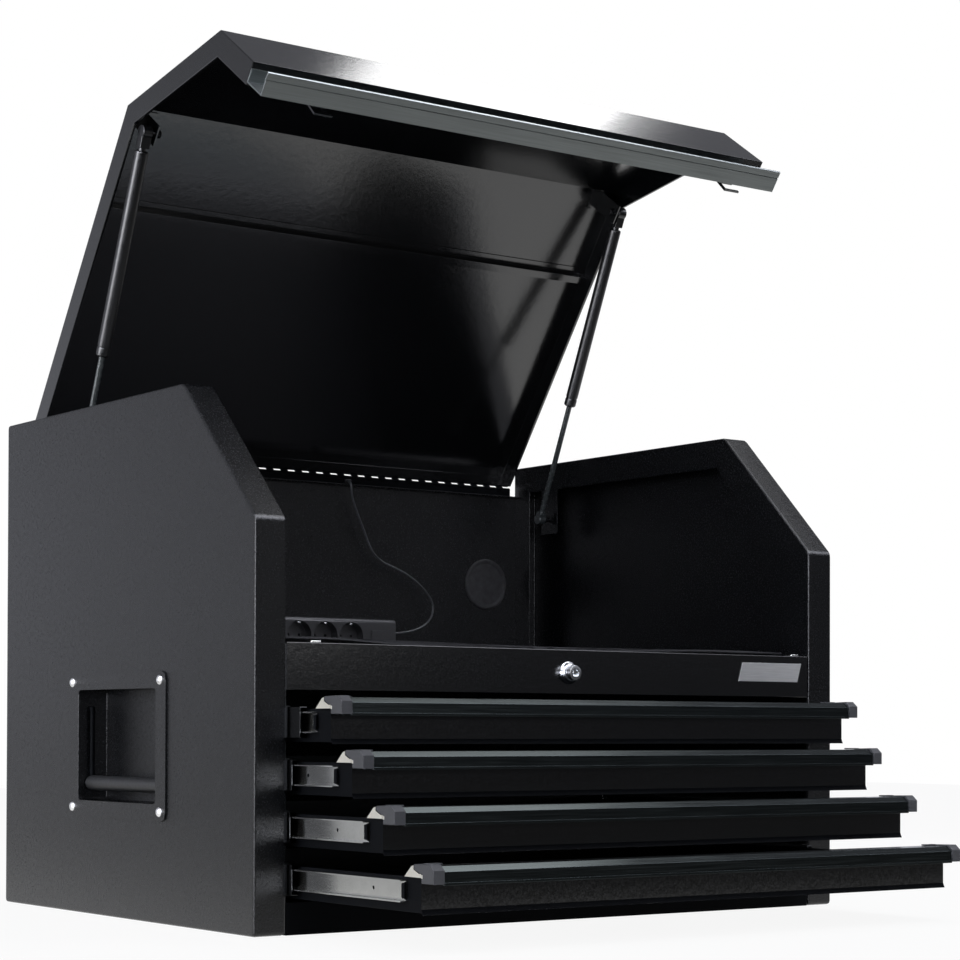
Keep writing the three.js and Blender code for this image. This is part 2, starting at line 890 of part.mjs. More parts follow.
function strutRod() {
  const piston = strutTubeRadius - strutTubeWall - strutSlack;
  const rod = turned([
    [0, 0],
    [strutRodRadius, 0],
    [strutRodRadius, strutRodLength - strutPistonLength],
    [piston, strutRodLength - strutPistonLength],
    [piston, strutRodLength],
    [0, strutRodLength],
  ], strutSides);
  const half = strutEyeWidth / 2;
  const eye = bar('x', strutEyeRadius, -half, half, [0, 0, 0], strutSides);
  const neck = block([-half, half], [0, strutEyeLength], [-half, half]);
  return join(rod, eye, neck);
}

// A folded tray whose front carries a flange under the pull and a small kick at the bottom
function drawerBody() {
  const half = drawerHalf;
  const [low, top] = [drawerFloorLift, drawerFaceHeight];
  const tray = block([-half, half], [sheet / 2, drawerDepth], [low, top]);
  const inner = block([sheet - half, half - sheet],
    [sheet, drawerDepth - sheet], [low + sheet, top + overrun]);
  const hems = [-1, 1].map((side) => {
    const outer = side * (half - sheet / 2);
    const edge = side * (half - drawerHem);
    const lip = side * (half - drawerHem + sheet);
    const flat = block([outer, edge].sort((a, b) => a - b), [sheet, drawerDepth - sheet],
      [top - sheet, top]);
    const turn = block([edge, lip].sort((a, b) => a - b), [sheet, drawerDepth - sheet],
      [top - sheet - drawerHemLip, top]);
    return join(flat, turn);
  });
  return join(cut(tray, inner), ...hems, drawerFace());
}

function drawerFace() {
  const top = drawerFaceHeight;
  const profile = shape(points(
    [-drawerKick, 0],
    [sheet - drawerKick, 0],
    [sheet, drawerKickHeight],
    [sheet, top - sheet],
    [drawerFrontReturn, top - sheet],
    [drawerFrontReturn, top],
    [0, top],
    [0, drawerKickHeight],
  ));
  return alongX(profile, -faceHalf, faceHalf);
}

// The pull's section in (y, z) from the face plane and the cap's bottom
function pullOutline() {
  return points(
    [-pullFront - pullBead, -pullBead],
    [pullBlockRear, -pullBead],
    [pullBlockRear, pullLedge],
    [pullReach, pullLedge],
    [pullShoulder, pullHeight - pullShoulderDrop],
    [pullTopReach, pullHeight],
    [pullChamferRun - pullFront, pullHeight],
    [-pullFront, pullHeight - pullChamferDrop],
    [-pullFront, pullBead],
    [-pullFront - pullBead, pullBead],
  );
}

// The cap's section: the front block, and an arm along the top
function capOutline(gap) {
  return inset(points(
    [-capFront, 0],
    [pullBlockRear, 0],
    [pullBlockRear, capThroat],
    [capArmFoot, capThroat],
    [capArmRear, capArmLow],
    [capArmRear, capArmHigh],
    [capChamferRun - capFront, capHeight],
    [-capFront, capHeight - capChamferDrop],
  ), -gap);
}

function drawerPull() {
  const half = pullHalf - capWidth - fit;
  const full = alongX(shape(pullOutline()), -pullHalf, pullHalf);
  const roof = pullHeight - pullChamferDrop;
  const grip = alongX(shape(points(
    [pullGrip - pullFront, -pullBead - overrun],
    [pullBlockRear - pullGrip, -pullBead - overrun],
    [pullBlockRear - pullGrip, roof],
    [pullGrip - pullFront, roof],
  )), -pullHalf - overrun, pullHalf + overrun);
  const room = [[-pullHalf - overrun, -half], [half, pullHalf + overrun]];
  const ends = room.map(([from, to]) => alongX(shape(capOutline(fit)), from, to));
  const trims = room.map(([from, to]) => block([from, to],
    [-capFront - overrun, pullBlockRear + fit],
    [-pullBead - overrun, capHeight + overrun]));
  return cut(full, grip, ...ends, ...trims);
}

// A tongue on the cap lies over the pull's top
function pullCap() {
  const near = pullHalf - capWidth;
  const cap = alongX(shape(capOutline(0)), near, pullHalf, capEdge);
  const low = pullHeight + fit;
  const tongue = block([near - capTongueReach, near + capTongueRoot],
    [capTongueFront, capArmRear], [low, low + capTongueThickness]);
  return join(cap, tongue);
}

// The middle member, whose edges turn in towards the inner one
function slideMiddle() {
  const [web, edge] = [slideWeb, slideWeb - slideDepth];
  const high = slideHeight / 2;
  const tip = slideInnerHeight / 2 + slideRaceGap;
  const outline = points(
    [web, -high],
    [web, high],
    [edge, high],
    [edge, tip],
    [edge + sheet, tip],
    [edge + sheet, high - sheet],
    [web - sheet, high - sheet],
    [web - sheet, sheet - high],
    [edge + sheet, sheet - high],
    [edge + sheet, -tip],
    [edge, -tip],
    [edge, -high],
  );
  return alongY(shape(outline), 0, slideMiddleLength);
}

// The inner member: a channel that opens outwards, with a notched front end
function slideInner() {
  const web = slideWeb - slideLift;
  const edge = slideWeb - sheet - slideWebGap;
  const high = slideInnerHeight / 2;
  const outline = points(
    [web, -high],
    [edge, -high],
    [edge, sheet - high],
    [web + sheet, sheet - high],
    [web + sheet, high - sheet],
    [edge, high - sheet],
    [edge, high],
    [web, high],
  );
  const member = alongY(shape(outline), slideInnerFront, slideInnerFront + slideInnerLength);
  const nose = slideInnerFront + slideNose;
  const notch = shape(points(
    [slideInnerFront - overrun, sheet - high],
    [slideInnerFront, sheet - high],
    [nose, slideNoseSlant - high],
    [nose, high - slideNoseSlant],
    [slideInnerFront, high - sheet],
    [slideInnerFront - overrun, high - sheet],
  ));
  const holes = slideHolePlaces.map((place) => bar('x', slideHoleRadius,
    web - overrun, web + sheet + overrun, [0, slideInnerFront + place, 0], slideHoleSides));
  return cut(member, alongX(notch, web - overrun, web + sheet + overrun), ...holes);
}

function handlePlate() {
  const [rear, high] = [handleFront + handleWidth, handleLow + handleHeight];
  const corners = points([handleFront, handleLow], [rear, handleLow], [rear, high], [handleFront, high]);
  const face = halfWidth + fit;
  const plate = alongX(roundedShape(corners, handleCorner), face, face + handlePlateThickness);
  const floor = halfWidth - recessDepth;
  const pan = alongX(roundedShape(handleOpening(-sheet), recessCorner + sheet), floor, face + overrun / 2);
  const hollow = alongX(roundedShape(handleOpening(0), recessCorner),
    floor + sheet, face + handlePlateThickness + overrun);
  const keep = block([floor, face + handlePlateThickness], [handleFront, rear], [handleLow, high]);
  const pins = bar('y', bailPinRadius + fit, handleFront, rear,
    [halfWidth - bailDepth, 0, bailPivotHeight()], bailSides);
  const holes = cut(pins, alongX(shape(handleOpening(sheet)), floor, halfWidth));
  return cut(join(plate, pan).intersect(keep), hollow, holes);
}

function bailPivotHeight() {
  return handleLow + handleHeight - handleRimHeight - bailPivotDrop;
}

// The bail hangs from two pins in the recess's ends and carries a thick round grip
function handleGrip() {
  const [front, rear] = [handleFront + handleRim, handleFront + handleWidth - handleRim];
  const high = bailPivotHeight();
  const low = high - bailLength;
  const across = halfWidth - bailDepth;
  const armPlaces = [front + bailSideGap + bailRodRadius, rear - bailSideGap - bailRodRadius];
  const arms = armPlaces.map((place) => bar('z', bailRodRadius, low, high, [across, place, 0], bailSides));
  const elbows = armPlaces.map((place) => solid(
    new THREE.SphereGeometry(bailRodRadius, bailSides, bailSides / 2).translate(across, place, high)));
  const pins = [
    bar('y', bailPinRadius, front - sheet - bailPinReach, armPlaces[0], [across, 0, high], bailSides),
    bar('y', bailPinRadius, armPlaces[1], rear + sheet + bailPinReach, [across, 0, high], bailSides),
  ];
  const grip = turned([
    [0, armPlaces[0] - bailRodRadius],
    [bailGripRadius - bailRodRadius / 2, armPlaces[0] - bailRodRadius],
    [bailGripRadius, armPlaces[0]],
    [bailGripRadius, armPlaces[1]],
    [bailGripRadius - bailRodRadius / 2, armPlaces[1] + bailRodRadius],
    [0, armPlaces[1] + bailRodRadius],
  ], bailSides);
  const placed = solid(geometryOf(grip).translate(across, 0, low));
  return join(placed, ...arms, ...elbows, ...pins);
}

function powerStrip() {
  const [front, left] = [stripRear - stripDepth, stripRight - stripLength];
  const [low, high] = [stripLow, stripLow + stripHeight];
  const outline = points([front, low], [stripRear, low], [stripRear, high], [front, high]);
  const body = alongX(roundedShape(outline, stripCorner), left, stripRight);
  const height = stripLow + socketRise;
  const tools = [];
  for (let i = 0; i < socketCount; i += 1) {
    const centre = left + socketFirst + i * socketPitch;
    tools.push(bar('y', socketRadius, front - overrun, front + socketDepth, [centre, 0, height], socketSides));
    for (const side of [-1, 1]) {
      const pinPlace = [centre + side * socketPinSpacing / 2, 0, height];
      tools.push(bar('y', socketPinRadius, front, front + socketDepth + socketPinDepth, pinPlace, pinSides));
    }
  }
  const rocker = block(
    [left + switchPlace - switchWidth / 2, left + switchPlace + switchWidth / 2],
    [front - switchRise, front + switchInset],
    [height - switchHeight / 2, height + switchHeight / 2]);
  const relief = bar('x', reliefRadius, stripRight - overrun, stripRight + reliefLength,
    [0, leadPlace, leadExitHeight], reliefSides);
  return join(cut(body, ...tools), rocker, relief);
}

// The lead's route from the strip's end to the clip on the back panel's top rail
function leadPath() {
  const start = stripRight + reliefLength + fit;
  const end = backRear - railDepth - fit;
  return [
    [start, leadPlace, leadExitHeight],
    [start + leadStraight, leadPlace, leadExitHeight],
    [188, 646, 386.8],
    [210, 646.5, 391.5],
    [229, 647, 401],
    [240.5, 647, 416],
    [240, 647, 435],
    [227, 647, 451.5],
    [203.5, 647, 470],
    [176, 647.5, 483.3],
    [145, 648, 493],
    [127, 648.5, 509],
    [114, 649, 540],
    [102, 649, 565],
    [91.5, 648.5, 590],
    [clipPlace, 646, 604],
    [clipPlace, end - leadEnd, backTop + clipHeight / 2],
    [clipPlace, end, backTop + clipHeight / 2],
  ].map(([across, back, up]) => new THREE.Vector3(across, back, up));
}

function lampLead() {
  const section = new THREE.Shape();
  section.absarc(0, 0, leadRadius, 0, Math.PI * 2, false);
  return solid(new THREE.ExtrudeGeometry(section, {
    steps: leadSteps,
    curveSegments: leadSides,
    extrudePath: new THREE.CatmullRomCurve3(leadPath(), false, 'centripetal'),
  }));
}

// A rubber disc with a rim on the front of the back panel and a cross slit for cables
function cableGrommet() {
  const front = backFront - fit - grommetRimThickness;
  const body = turned([
    [0, front + grommetRimThickness / 2],
    [grommetRadius - grommetRim, front + grommetRimThickness / 2],
    [grommetRadius, front],
    [grommetRadius + grommetRim, front + grommetRimThickness / 2],
    [grommetRadius + grommetRim, backFront - fit],
    [grommetRadius, backFront - fit],
    [grommetRadius, backRear + fit],
    [0, backRear + fit],
  ], grommetSides);
  const placed = geometryOf(body).translate(grommetPlace, 0, grommetHeight);
  const [half, reach] = [grommetSlit / 2, grommetSlitLength / 2];
  const depth = [front - overrun, backRear + overrun];
  const upright = block([grommetPlace - half, grommetPlace + half], depth,
    [grommetHeight - reach, grommetHeight + reach]);
  const level = block([grommetPlace - reach, grommetPlace + reach], depth,
    [grommetHeight - half, grommetHeight + half]);
  return cut(solid(placed), upright, level);
}

// A turned body about the y axis, moved to the height of the lock
function atLock(mesh) {
  mesh.position.z = lockHeight;
  return mesh;
}

function cabinet() {
  const group = new THREE.Group();
  group.add(...pair('side_panel', sidePanel(), 'powderCoat'));
  group.add(...pair('side_liner', sideLiner(), 'powderCoat'));
  group.add(piece('back_panel', backPanel(), 'powderCoat'));
  group.add(piece('base_pan', basePan(), 'powderCoat'));
  group.add(piece('hutch_floor', hutchFloor(), 'powderCoat'));
  group.add(piece('hutch_mat', hutchMat(), 'rubber'));
  group.add(piece('lock_panel', lockPanel(), 'glossCoat'));
  group.add(atLock(piece('lock_housing', lockHousing(), 'chrome')));
  group.add(atLock(piece('lock_barrel', lockBarrel(), 'chrome')));
  group.add(...pair('handle_plate', handlePlate(), 'powderCoat'));
  group.add(...pair('handle_grip', handleGrip(), 'glossCoat'));
  group.add(piece('power_strip', powerStrip(), 'blackPlastic'));
  group.add(piece('lamp_lead', lampLead(), 'rubber'));
  group.add(piece('cable_grommet', cableGrommet(), 'rubber'));
  const lowerLeaf = piece('hinge_lower_leaf', hingeLowerLeaf(), 'glossCoat');
  lowerLeaf.position.z = hingeHeight;
  group.add(lowerLeaf);
  for (let i = 0; i < drawerPulledOut.length; i += 1) {
    const slides = pair(`drawer_${i + 1}_slide_middle`, slideMiddle(), 'zinc');
    const front = slideMiddlePark - slideMiddlePulledOut[i];
    slides.forEach((slide) => slide.position.set(0, front, drawerLows[i] + slideRise));
    group.add(...slides);
  }
  return group;
}

function drawer(i) {
  const group = new THREE.Group();
  group.position.set(0, faceSet - drawerPulledOut[i], drawerLows[i]);
  const name = `drawer_${i + 1}`;
  group.add(piece(`${name}_body`, drawerBody(), 'powderCoat'));
  const pull = new THREE.Group();
  pull.position.z = pullRise;
  pull.add(piece(`${name}_pull`, drawerPull(), 'pullMetal'));
  pull.add(...pair(`${name}_pull_cap`, pullCap(), 'capPlastic'));
  const slides = pair(`${name}_slide_inner`, slideInner(), 'zinc');
  slides.forEach((slide) => slide.position.setZ(slideRise));
  group.add(pull, ...slides);
  return group;
}

// The lid is modelled shut and turned open about the hinge pin
function lid() {
  const open = new THREE.Group();
  open.position.set(0, hingePlace, hingeHeight);
  open.rotation.x = -lidOpenAngle;
  const shut = new THREE.Group();
  shut.position.set(0, -hingePlace, -hingeHeight);
  shut.add(piece('lid_shell', lidShell(), 'glossCoat'));
  shut.add(piece('lid_stiffener', lidStiffener(), 'glossCoat'));
  shut.add(piece('lid_pull', lidPull(), 'pullMetal'));
  const upperLeaf = piece('hinge_upper_leaf', hingeUpperLeaf(), 'glossCoat');
  upperLeaf.position.z = hingeHeight;
  shut.add(upperLeaf);
  open.add(shut);
  return open;
}

// A strut runs from the lid's stud, where the open lid takes it, to the side panel's stud
function struts() {
  const fromHinge = new THREE.Vector2(lidStudPlace - hingePlace, lidStudHeight - hingeHeight);
  fromHinge.rotateAround(new THREE.Vector2(), -lidOpenAngle);
  const lidStud = fromHinge.add(new THREE.Vector2(hingePlace, hingeHeight));
  const sideStud = new THREE.Vector2(sideStudPlace, sideStudHeight);
  const along = sideStud.clone().sub(lidStud);
  const meshes = [];
  for (const side of [-1, 1]) {
    const name = side < 0 ? 'left' : 'right';
    const tube = piece(`strut_cylinder_${name}`, strutTube(), 'strutTube', name);
    tube.position.set(side * strutPlane, lidStud.x, lidStud.y);
    tube.rotation.x = along.angle();
    const rod = piece(`strut_rod_${name}`, strutRod(), 'strutTube', name);
    rod.position.set(side * strutPlane, sideStud.x, sideStud.y);
    rod.rotation.x = along.angle() + Math.PI;
    meshes.push(tube, rod);
  }
  return meshes;
}

const chest = new THREE.Group();
chest.position.y = -cabinetDepth / 2;
chest.add(cabinet(), lid(), ...struts());
for (let i = 0; i < drawerPulledOut.length; i += 1) chest.add(drawer(i));

export default chest;
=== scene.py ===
# A top tool chest: coated steel, slides, struts, pulls and fittings, dressed round the CAD frame.
# Metres, +Z up. The origin is the middle of the underside, and the drawers open towards -Y.
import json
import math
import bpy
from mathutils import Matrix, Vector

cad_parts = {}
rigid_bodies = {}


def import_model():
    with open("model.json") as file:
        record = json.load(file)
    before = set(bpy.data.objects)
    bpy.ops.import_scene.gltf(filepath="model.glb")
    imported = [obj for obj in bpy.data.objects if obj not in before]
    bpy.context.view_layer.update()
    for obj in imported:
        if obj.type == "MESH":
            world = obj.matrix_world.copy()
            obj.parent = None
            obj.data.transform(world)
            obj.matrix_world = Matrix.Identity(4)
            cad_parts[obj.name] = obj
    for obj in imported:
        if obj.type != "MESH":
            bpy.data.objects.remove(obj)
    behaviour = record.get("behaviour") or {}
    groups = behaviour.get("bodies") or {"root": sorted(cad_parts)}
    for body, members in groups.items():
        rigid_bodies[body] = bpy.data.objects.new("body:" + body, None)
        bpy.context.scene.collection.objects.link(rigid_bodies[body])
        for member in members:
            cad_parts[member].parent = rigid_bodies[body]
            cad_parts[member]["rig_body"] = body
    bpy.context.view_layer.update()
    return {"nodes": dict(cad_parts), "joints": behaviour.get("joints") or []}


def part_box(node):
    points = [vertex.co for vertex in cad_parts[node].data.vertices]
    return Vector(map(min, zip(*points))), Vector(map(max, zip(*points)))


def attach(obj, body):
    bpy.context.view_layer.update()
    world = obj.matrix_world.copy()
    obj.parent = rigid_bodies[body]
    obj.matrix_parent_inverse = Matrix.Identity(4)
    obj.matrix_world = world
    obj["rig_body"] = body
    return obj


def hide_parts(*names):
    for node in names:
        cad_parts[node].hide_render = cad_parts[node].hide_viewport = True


bl_info = {
    "name": "Top Tool Chest",
    "version": (1, 0, 0),
    "blender": (4, 5, 0),
    "location": "View3D > Sidebar > Tool Chest",
    "description": "Builds the finished look of a steel top tool chest round its CAD frame",
    "category": "Object",
}

import bmesh
import bpy
from mathutils import Matrix, Vector

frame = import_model()

MM = 0.001
SIDES = {"left": -1, "right": 1}
DRAWERS = (1, 2, 3, 4)

# Edges and shading of the folded steel, the extrusions and the round parts
MERGE_DISTANCE = 0.01 * MM
FLAT_ANGLE = math.radians(0.4)
FOLD_ANGLE = math.radians(28)
RIM_ANGLE = math.radians(38)
SHADING_ANGLE = math.radians(34)
ROUND_SHADING_ANGLE = math.radians(50)
WIDE_FACE = 5 * MM
SHORT_EDGE = 4 * MM
ROUND_SIDES = 48

# Range that most of a noise's values lie in
NOISE_LOW = 0.3
NOISE_HIGH = 0.7

# Camera, from the vanishing lines of the photograph
PHOTO_PIXELS = 960
CAMERA_PLACE = Vector((-1.80936, -2.6379, 0.23805))
CAMERA_YAW = math.radians(36.0233)
CAMERA_PITCH = math.radians(0.735)
CAMERA_ROLL = math.radians(0.1686)
CAMERA_FOCAL_PIXELS = 2324.93
CAMERA_CENTRE_PIXELS = (482.17, 700.0)
SENSOR_WIDTH_MM = 36

# Route of the thin lead, from the power strip's end up to the clip on the back panel
LEAD_DIAMETER = 3.2 * MM
LEAD_ROUTE_MM = [
    (163.3, 310.6, 385.0),
    (169.7, 310.6, 385.0),
    (188.0, 310.0, 386.8),
    (210.0, 310.5, 391.5),
    (229.0, 311.0, 401.0),
    (240.5, 311.0, 416.0),
    (240.0, 311.0, 435.0),
    (227.0, 311.0, 451.5),
    (203.5, 311.0, 470.0),
    (176.0, 311.5, 483.3),
    (145.0, 312.0, 493.0),
    (127.0, 312.5, 509.0),
    (114.0, 313.0, 540.0),
    (102.0, 313.0, 565.0),
    (91.5, 312.5, 590.0),
    (89.5, 310.0, 604.0),
    (89.5, 314.0, 612.5),
    (89.5, 318.8, 612.5),
]


def linear(hex_value):
    """An sRGB hex colour as linear red, green and blue."""
    shares = [int(hex_value[i:i + 2], 16) / 255 for i in (1, 3, 5)]
    return tuple(s / 12.92 if s <= 0.04045 else ((s + 0.055) / 1.055) ** 2.4 for s in shares)


def colour_property(name, description, hex_value):
    return bpy.props.FloatVectorProperty(
        name=name, description=description, subtype="COLOR", size=3, min=0, max=1,
        default=linear(hex_value))


def length_property(name, description, metres):
    return bpy.props.FloatProperty(
        name=name, description=description, unit="LENGTH", min=0, default=metres, precision=5)


class ChestFinishes(bpy.types.PropertyGroup):
    """Colours of the chest's materials."""

    coat: colour_property("Textured coat", "Powder coat of the cabinet", "#0d0e10")
    gloss: colour_property("Gloss coat", "Powder coat of the lid and drawers", "#08090b")
    extrusion: colour_property("Extrusion", "Black anodised pulls of the drawers", "#474d4e")
    lid_pull: colour_property("Lid pull", "Grey anodised pull of the lid", "#8f9494")
    cap: colour_property("Cap", "End caps of the pulls", "#2e2f32")
    plug: colour_property("End plug", "Nylon plug in the pull's end", "#efece0")
    zinc: colour_property("Zinc", "Inner members of the ball slides", "#cfd0cd")
    # Darker than the zinc of the inner members: painted shade on the members that sit back in the
    # cabinet
    rail: colour_property("Rail", "Oiled zinc of the middle and fixed members", "#4c4d4e")
    chrome: colour_property("Chrome", "Lock", "#dcdee0")
    strip: colour_property("Strip", "Housing of the power strip", "#3a3a3c")
    rubber: colour_property("Rubber", "Floor mat", "#17171a")
    lead: colour_property("Lead", "Jacket of the thin lead", "#484a4d")
    strut: colour_property("Strut", "Paint of the gas struts", "#0c0d0f")
    rivet: colour_property("Rivet", "Aluminium rivets and plate", "#fafafa")


class ChestSizes(bpy.types.PropertyGroup):
    """Small sizes that the finished pieces add to the frame."""

    fold: length_property("Fold radius", "Radius of the sheet's folds", 1.6 * MM)
    rim: length_property("Rim radius", "Rounding of a sheet's cut edge", 0.3 * MM)
    rivet_diameter: length_property("Rivet diameter", "Head of a handle rivet", 12 * MM)
    rivet_height: length_property("Rivet height", "Height of a rivet's dome", 3 * MM)
    coat_grain: length_property("Coat grain", "Spacing of the textured coat's grain", 2.4 * MM)
    peel: length_property("Orange peel", "Spacing of the gloss coat's waviness", 9 * MM)
    cap_grain: length_property("Cap grain", "Spacing of the moulded pits", 1.5 * MM)


def finishes():
    return bpy.context.scene.chest_finishes


def sizes():
    return bpy.context.scene.chest_sizes


# Materials


def add_node(tree, kind, inputs=None, **settings):
    """Adds one shader node with its settings, and with values or links on its inputs."""
    made = tree.nodes.new(kind)
    for key, value in settings.items():
        setattr(made, key, value)
    for key, value in (inputs or {}).items():
        if isinstance(value, bpy.types.NodeSocket):
            tree.links.new(value, made.inputs[key])
        else:
            made.inputs[key].default_value = value
    return made


def rgba(colour, share=1.0):
    return (*[c * share for c in colour], 1.0)


def new_material(name):
    material = bpy.data.materials.new(name)
    material.use_nodes = True
    material.node_tree.nodes.clear()
    return material, material.node_tree


def finish_material(tree, inputs):
    surface = add_node(tree, "ShaderNodeBsdfPrincipled", inputs)
    add_node(tree, "ShaderNodeOutputMaterial", {"Surface": surface.outputs["BSDF"]})


def object_place(tree):
    return add_node(tree, "ShaderNodeTexCoord").outputs["Object"]


def noise(tree, place, spacing, detail, **inputs):
    """Noise whose features lie about that far apart, as a share from 0 to 1."""
    return add_node(tree, "ShaderNodeTexNoise", {
        "Vector": place, "Scale": 1 / spacing, "Detail": detail, **inputs}).outputs["Fac"]


def drawn_out(tree, scale):
    """Object coordinates stretched along one axis, for lines that run along a piece."""
    return add_node(tree, "ShaderNodeMapping", {
        "Vector": object_place(tree), "Scale": scale}).outputs["Vector"]


def spread(tree, share, low, high):
    """Spreads the middle of a noise's range over the range between two values."""
    return add_node(tree, "ShaderNodeMapRange", {
        "Value": share, "From Min": NOISE_LOW, "From Max": NOISE_HIGH,
        "To Min": low, "To Max": high}).outputs["Result"]


def shades(tree, share, colour, low, high):
    """Mixes a darker and a lighter shade of one colour."""
    return add_node(tree, "ShaderNodeMix", {
        "Factor": share, "A": rgba(colour, low), "B": rgba(colour, high)},
        data_type="RGBA").outputs["Result"]


def bumps(tree, height, strength, depth):
    return add_node(tree, "ShaderNodeBump", {
        "Height": height, "Strength": strength, "Distance": depth}).outputs["Normal"]


def textured_powder_coat():
    """Baked polyester powder with a fine sand texture: dull black that breaks up highlights."""
    material, tree = new_material("textured_powder_coat")
    grain = noise(tree, object_place(tree), sizes().coat_grain, 5.0, Roughness=0.75)
    finish_material(tree, {
        "Base Color": shades(tree, spread(tree, grain, 0.0, 1.0), finishes().coat, 0.3, 2.4),
        "Roughness": spread(tree, grain, 0.12, 0.34),
        "IOR": 1.42,
        "Normal": bumps(tree, grain, 1.0, 0.4 * MM)})
    return material


def gloss_powder_coat():
    """Smooth polyester powder, semi-gloss: soft mirror images with a slight orange peel."""
    material, tree = new_material("gloss_powder_coat")
    place = object_place(tree)
    peel = noise(tree, place, sizes().peel, 2.0)
    dust = noise(tree, place, 2.2 * MM, 2.0)
    height = add_node(tree, "ShaderNodeMath", {
        0: dust, 1: 0.35, 2: peel}, operation="MULTIPLY_ADD").outputs["Value"]
    finish_material(tree, {
        "Base Color": shades(tree, spread(tree, dust, 0.0, 1.0), finishes().gloss, 0.3, 2.4),
        "Roughness": spread(tree, dust, 0.13, 0.21),
        "IOR": 1.75,
        "Normal": bumps(tree, height, 0.3, 0.3 * MM)})
    return material


def anodised_extrusion(name, colour, rough):
    """Extruded aluminium, dark anodised: satin, with faint die lines along its length."""
    material, tree = new_material(name)
    lines = noise(tree, drawn_out(tree, (0.02, 1.0, 1.0)), 1.6 * MM, 3.0)
    finish_material(tree, {
        "Base Color": shades(tree, lines, colour, 0.75, 1.3),
        "Metallic": 1.0,
        "Roughness": spread(tree, lines, rough - 0.05, rough + 0.06),
        "Normal": bumps(tree, lines, 0.15, 0.1 * MM)})
    return material


def moulded_abs(name, colour, grain, strength, rough):
    """Moulded ABS with a spark-eroded texture: even, dull, and finely pitted."""
    material, tree = new_material(name)
    place = object_place(tree)
    pits = add_node(tree, "ShaderNodeTexVoronoi", {
        "Vector": place, "Scale": 1 / grain}, feature="SMOOTH_F1").outputs["Distance"]
    speck = noise(tree, place, grain, 3.0)
    finish_material(tree, {
        "Base Color": shades(tree, speck, colour, 0.7, 1.3),
        "Roughness": rough,
        "IOR": 1.53,
        "Normal": bumps(tree, pits, strength, 0.3 * MM)})
    return material


def natural_nylon():
    """Unpigmented nylon: creamy white, slightly waxy."""
    material, tree = new_material("natural_nylon")
    speck = noise(tree, object_place(tree), 4 * MM, 3.0)
    finish_material(tree, {
        "Base Color": shades(tree, speck, finishes().plug, 0.86, 1.0),
        "Roughness": 0.42,
        "IOR": 1.53})
    return material


def zinc_plated_steel(name, colour):
    """Cold-rolled steel, zinc plated: bright, with rolling lines along it and a cloudy bloom."""
    material, tree = new_material(name)
    lines = noise(tree, drawn_out(tree, (1.0, 0.04, 1.0)), 1.4 * MM, 3.0)
    bloom = noise(tree, object_place(tree), 22 * MM, 3.0)
    finish_material(tree, {
        "Base Color": shades(tree, bloom, colour, 0.82, 1.0),
        "Metallic": 1.0,
        "Roughness": spread(tree, lines, 0.2, 0.24),
        "Normal": bumps(tree, lines, 0.06, 0.05 * MM)})
    return material


def polished_metal(name, colour, low, high, spacing):
    """Plated or polished metal: a mirror with faint smears."""
    material, tree = new_material(name)
    smear = noise(tree, object_place(tree), spacing, 3.0)
    finish_material(tree, {
        "Base Color": shades(tree, smear, colour, 0.92, 1.0),
        "Metallic": 1.0,
        "Roughness": spread(tree, smear, low, high)})
    return material


def brushed_plate():
    """Rolled aluminium plate, brushed along its length and clear coated."""
    material, tree = new_material("brushed_aluminium_plate")
    lines = noise(tree, drawn_out(tree, (0.03, 1.0, 1.0)), 0.9 * MM, 4.0)
    finish_material(tree, {
        "Base Color": shades(tree, lines, finishes().rivet, 0.6, 0.95),
        "Metallic": 0.12,
        "Roughness": 0.4,
        "Coat Weight": 0.4,
        "Normal": bumps(tree, lines, 0.2, 0.08 * MM)})
    return material


def satin_paint(name, colour, rough):
    """Stoved enamel on a turned or drawn part: satin black with a faint ripple."""
    material, tree = new_material(name)
    ripple = noise(tree, object_place(tree), 5 * MM, 3.0)
    finish_material(tree, {
        "Base Color": shades(tree, ripple, colour, 0.85, 1.2),
        "Roughness": spread(tree, ripple, rough - 0.05, rough + 0.06),
        "IOR": 1.55,
        "Normal": bumps(tree, ripple, 0.08, 0.2 * MM)})
    return material


def dead_matt_black(name):
    """Thin black dip coat or filled nylon: dead matt, with faint rub marks along the slide. Also
    the painted shade on parts that stay dark under and inside the chest.
    """
    material, tree = new_material(name)
    rubs = noise(tree, drawn_out(tree, (1.0, 0.05, 1.0)), 4 * MM, 3.0)
    finish_material(tree, {
        "Base Color": shades(tree, rubs, finishes().gloss, 0.7, 2.2),
        "Roughness": spread(tree, rubs, 0.5, 0.65),
        "Specular IOR Level": 0.03})
    return material


def soft_rubber(name, colour, rough, spacing, patch=30 * MM, low=0.8, high=1.5):
    """Moulded rubber or soft vinyl: dull, with dust in its grain."""
    material, tree = new_material(name)
    place = object_place(tree)
    dust = noise(tree, place, patch, 4.0)
    grain = noise(tree, place, spacing, 3.0)
    finish_material(tree, {
        "Base Color": shades(tree, dust, colour, low, high),
        "Roughness": rough,
        "IOR": 1.5,
        "Normal": bumps(tree, grain, 0.3, 0.25 * MM)})
    return material


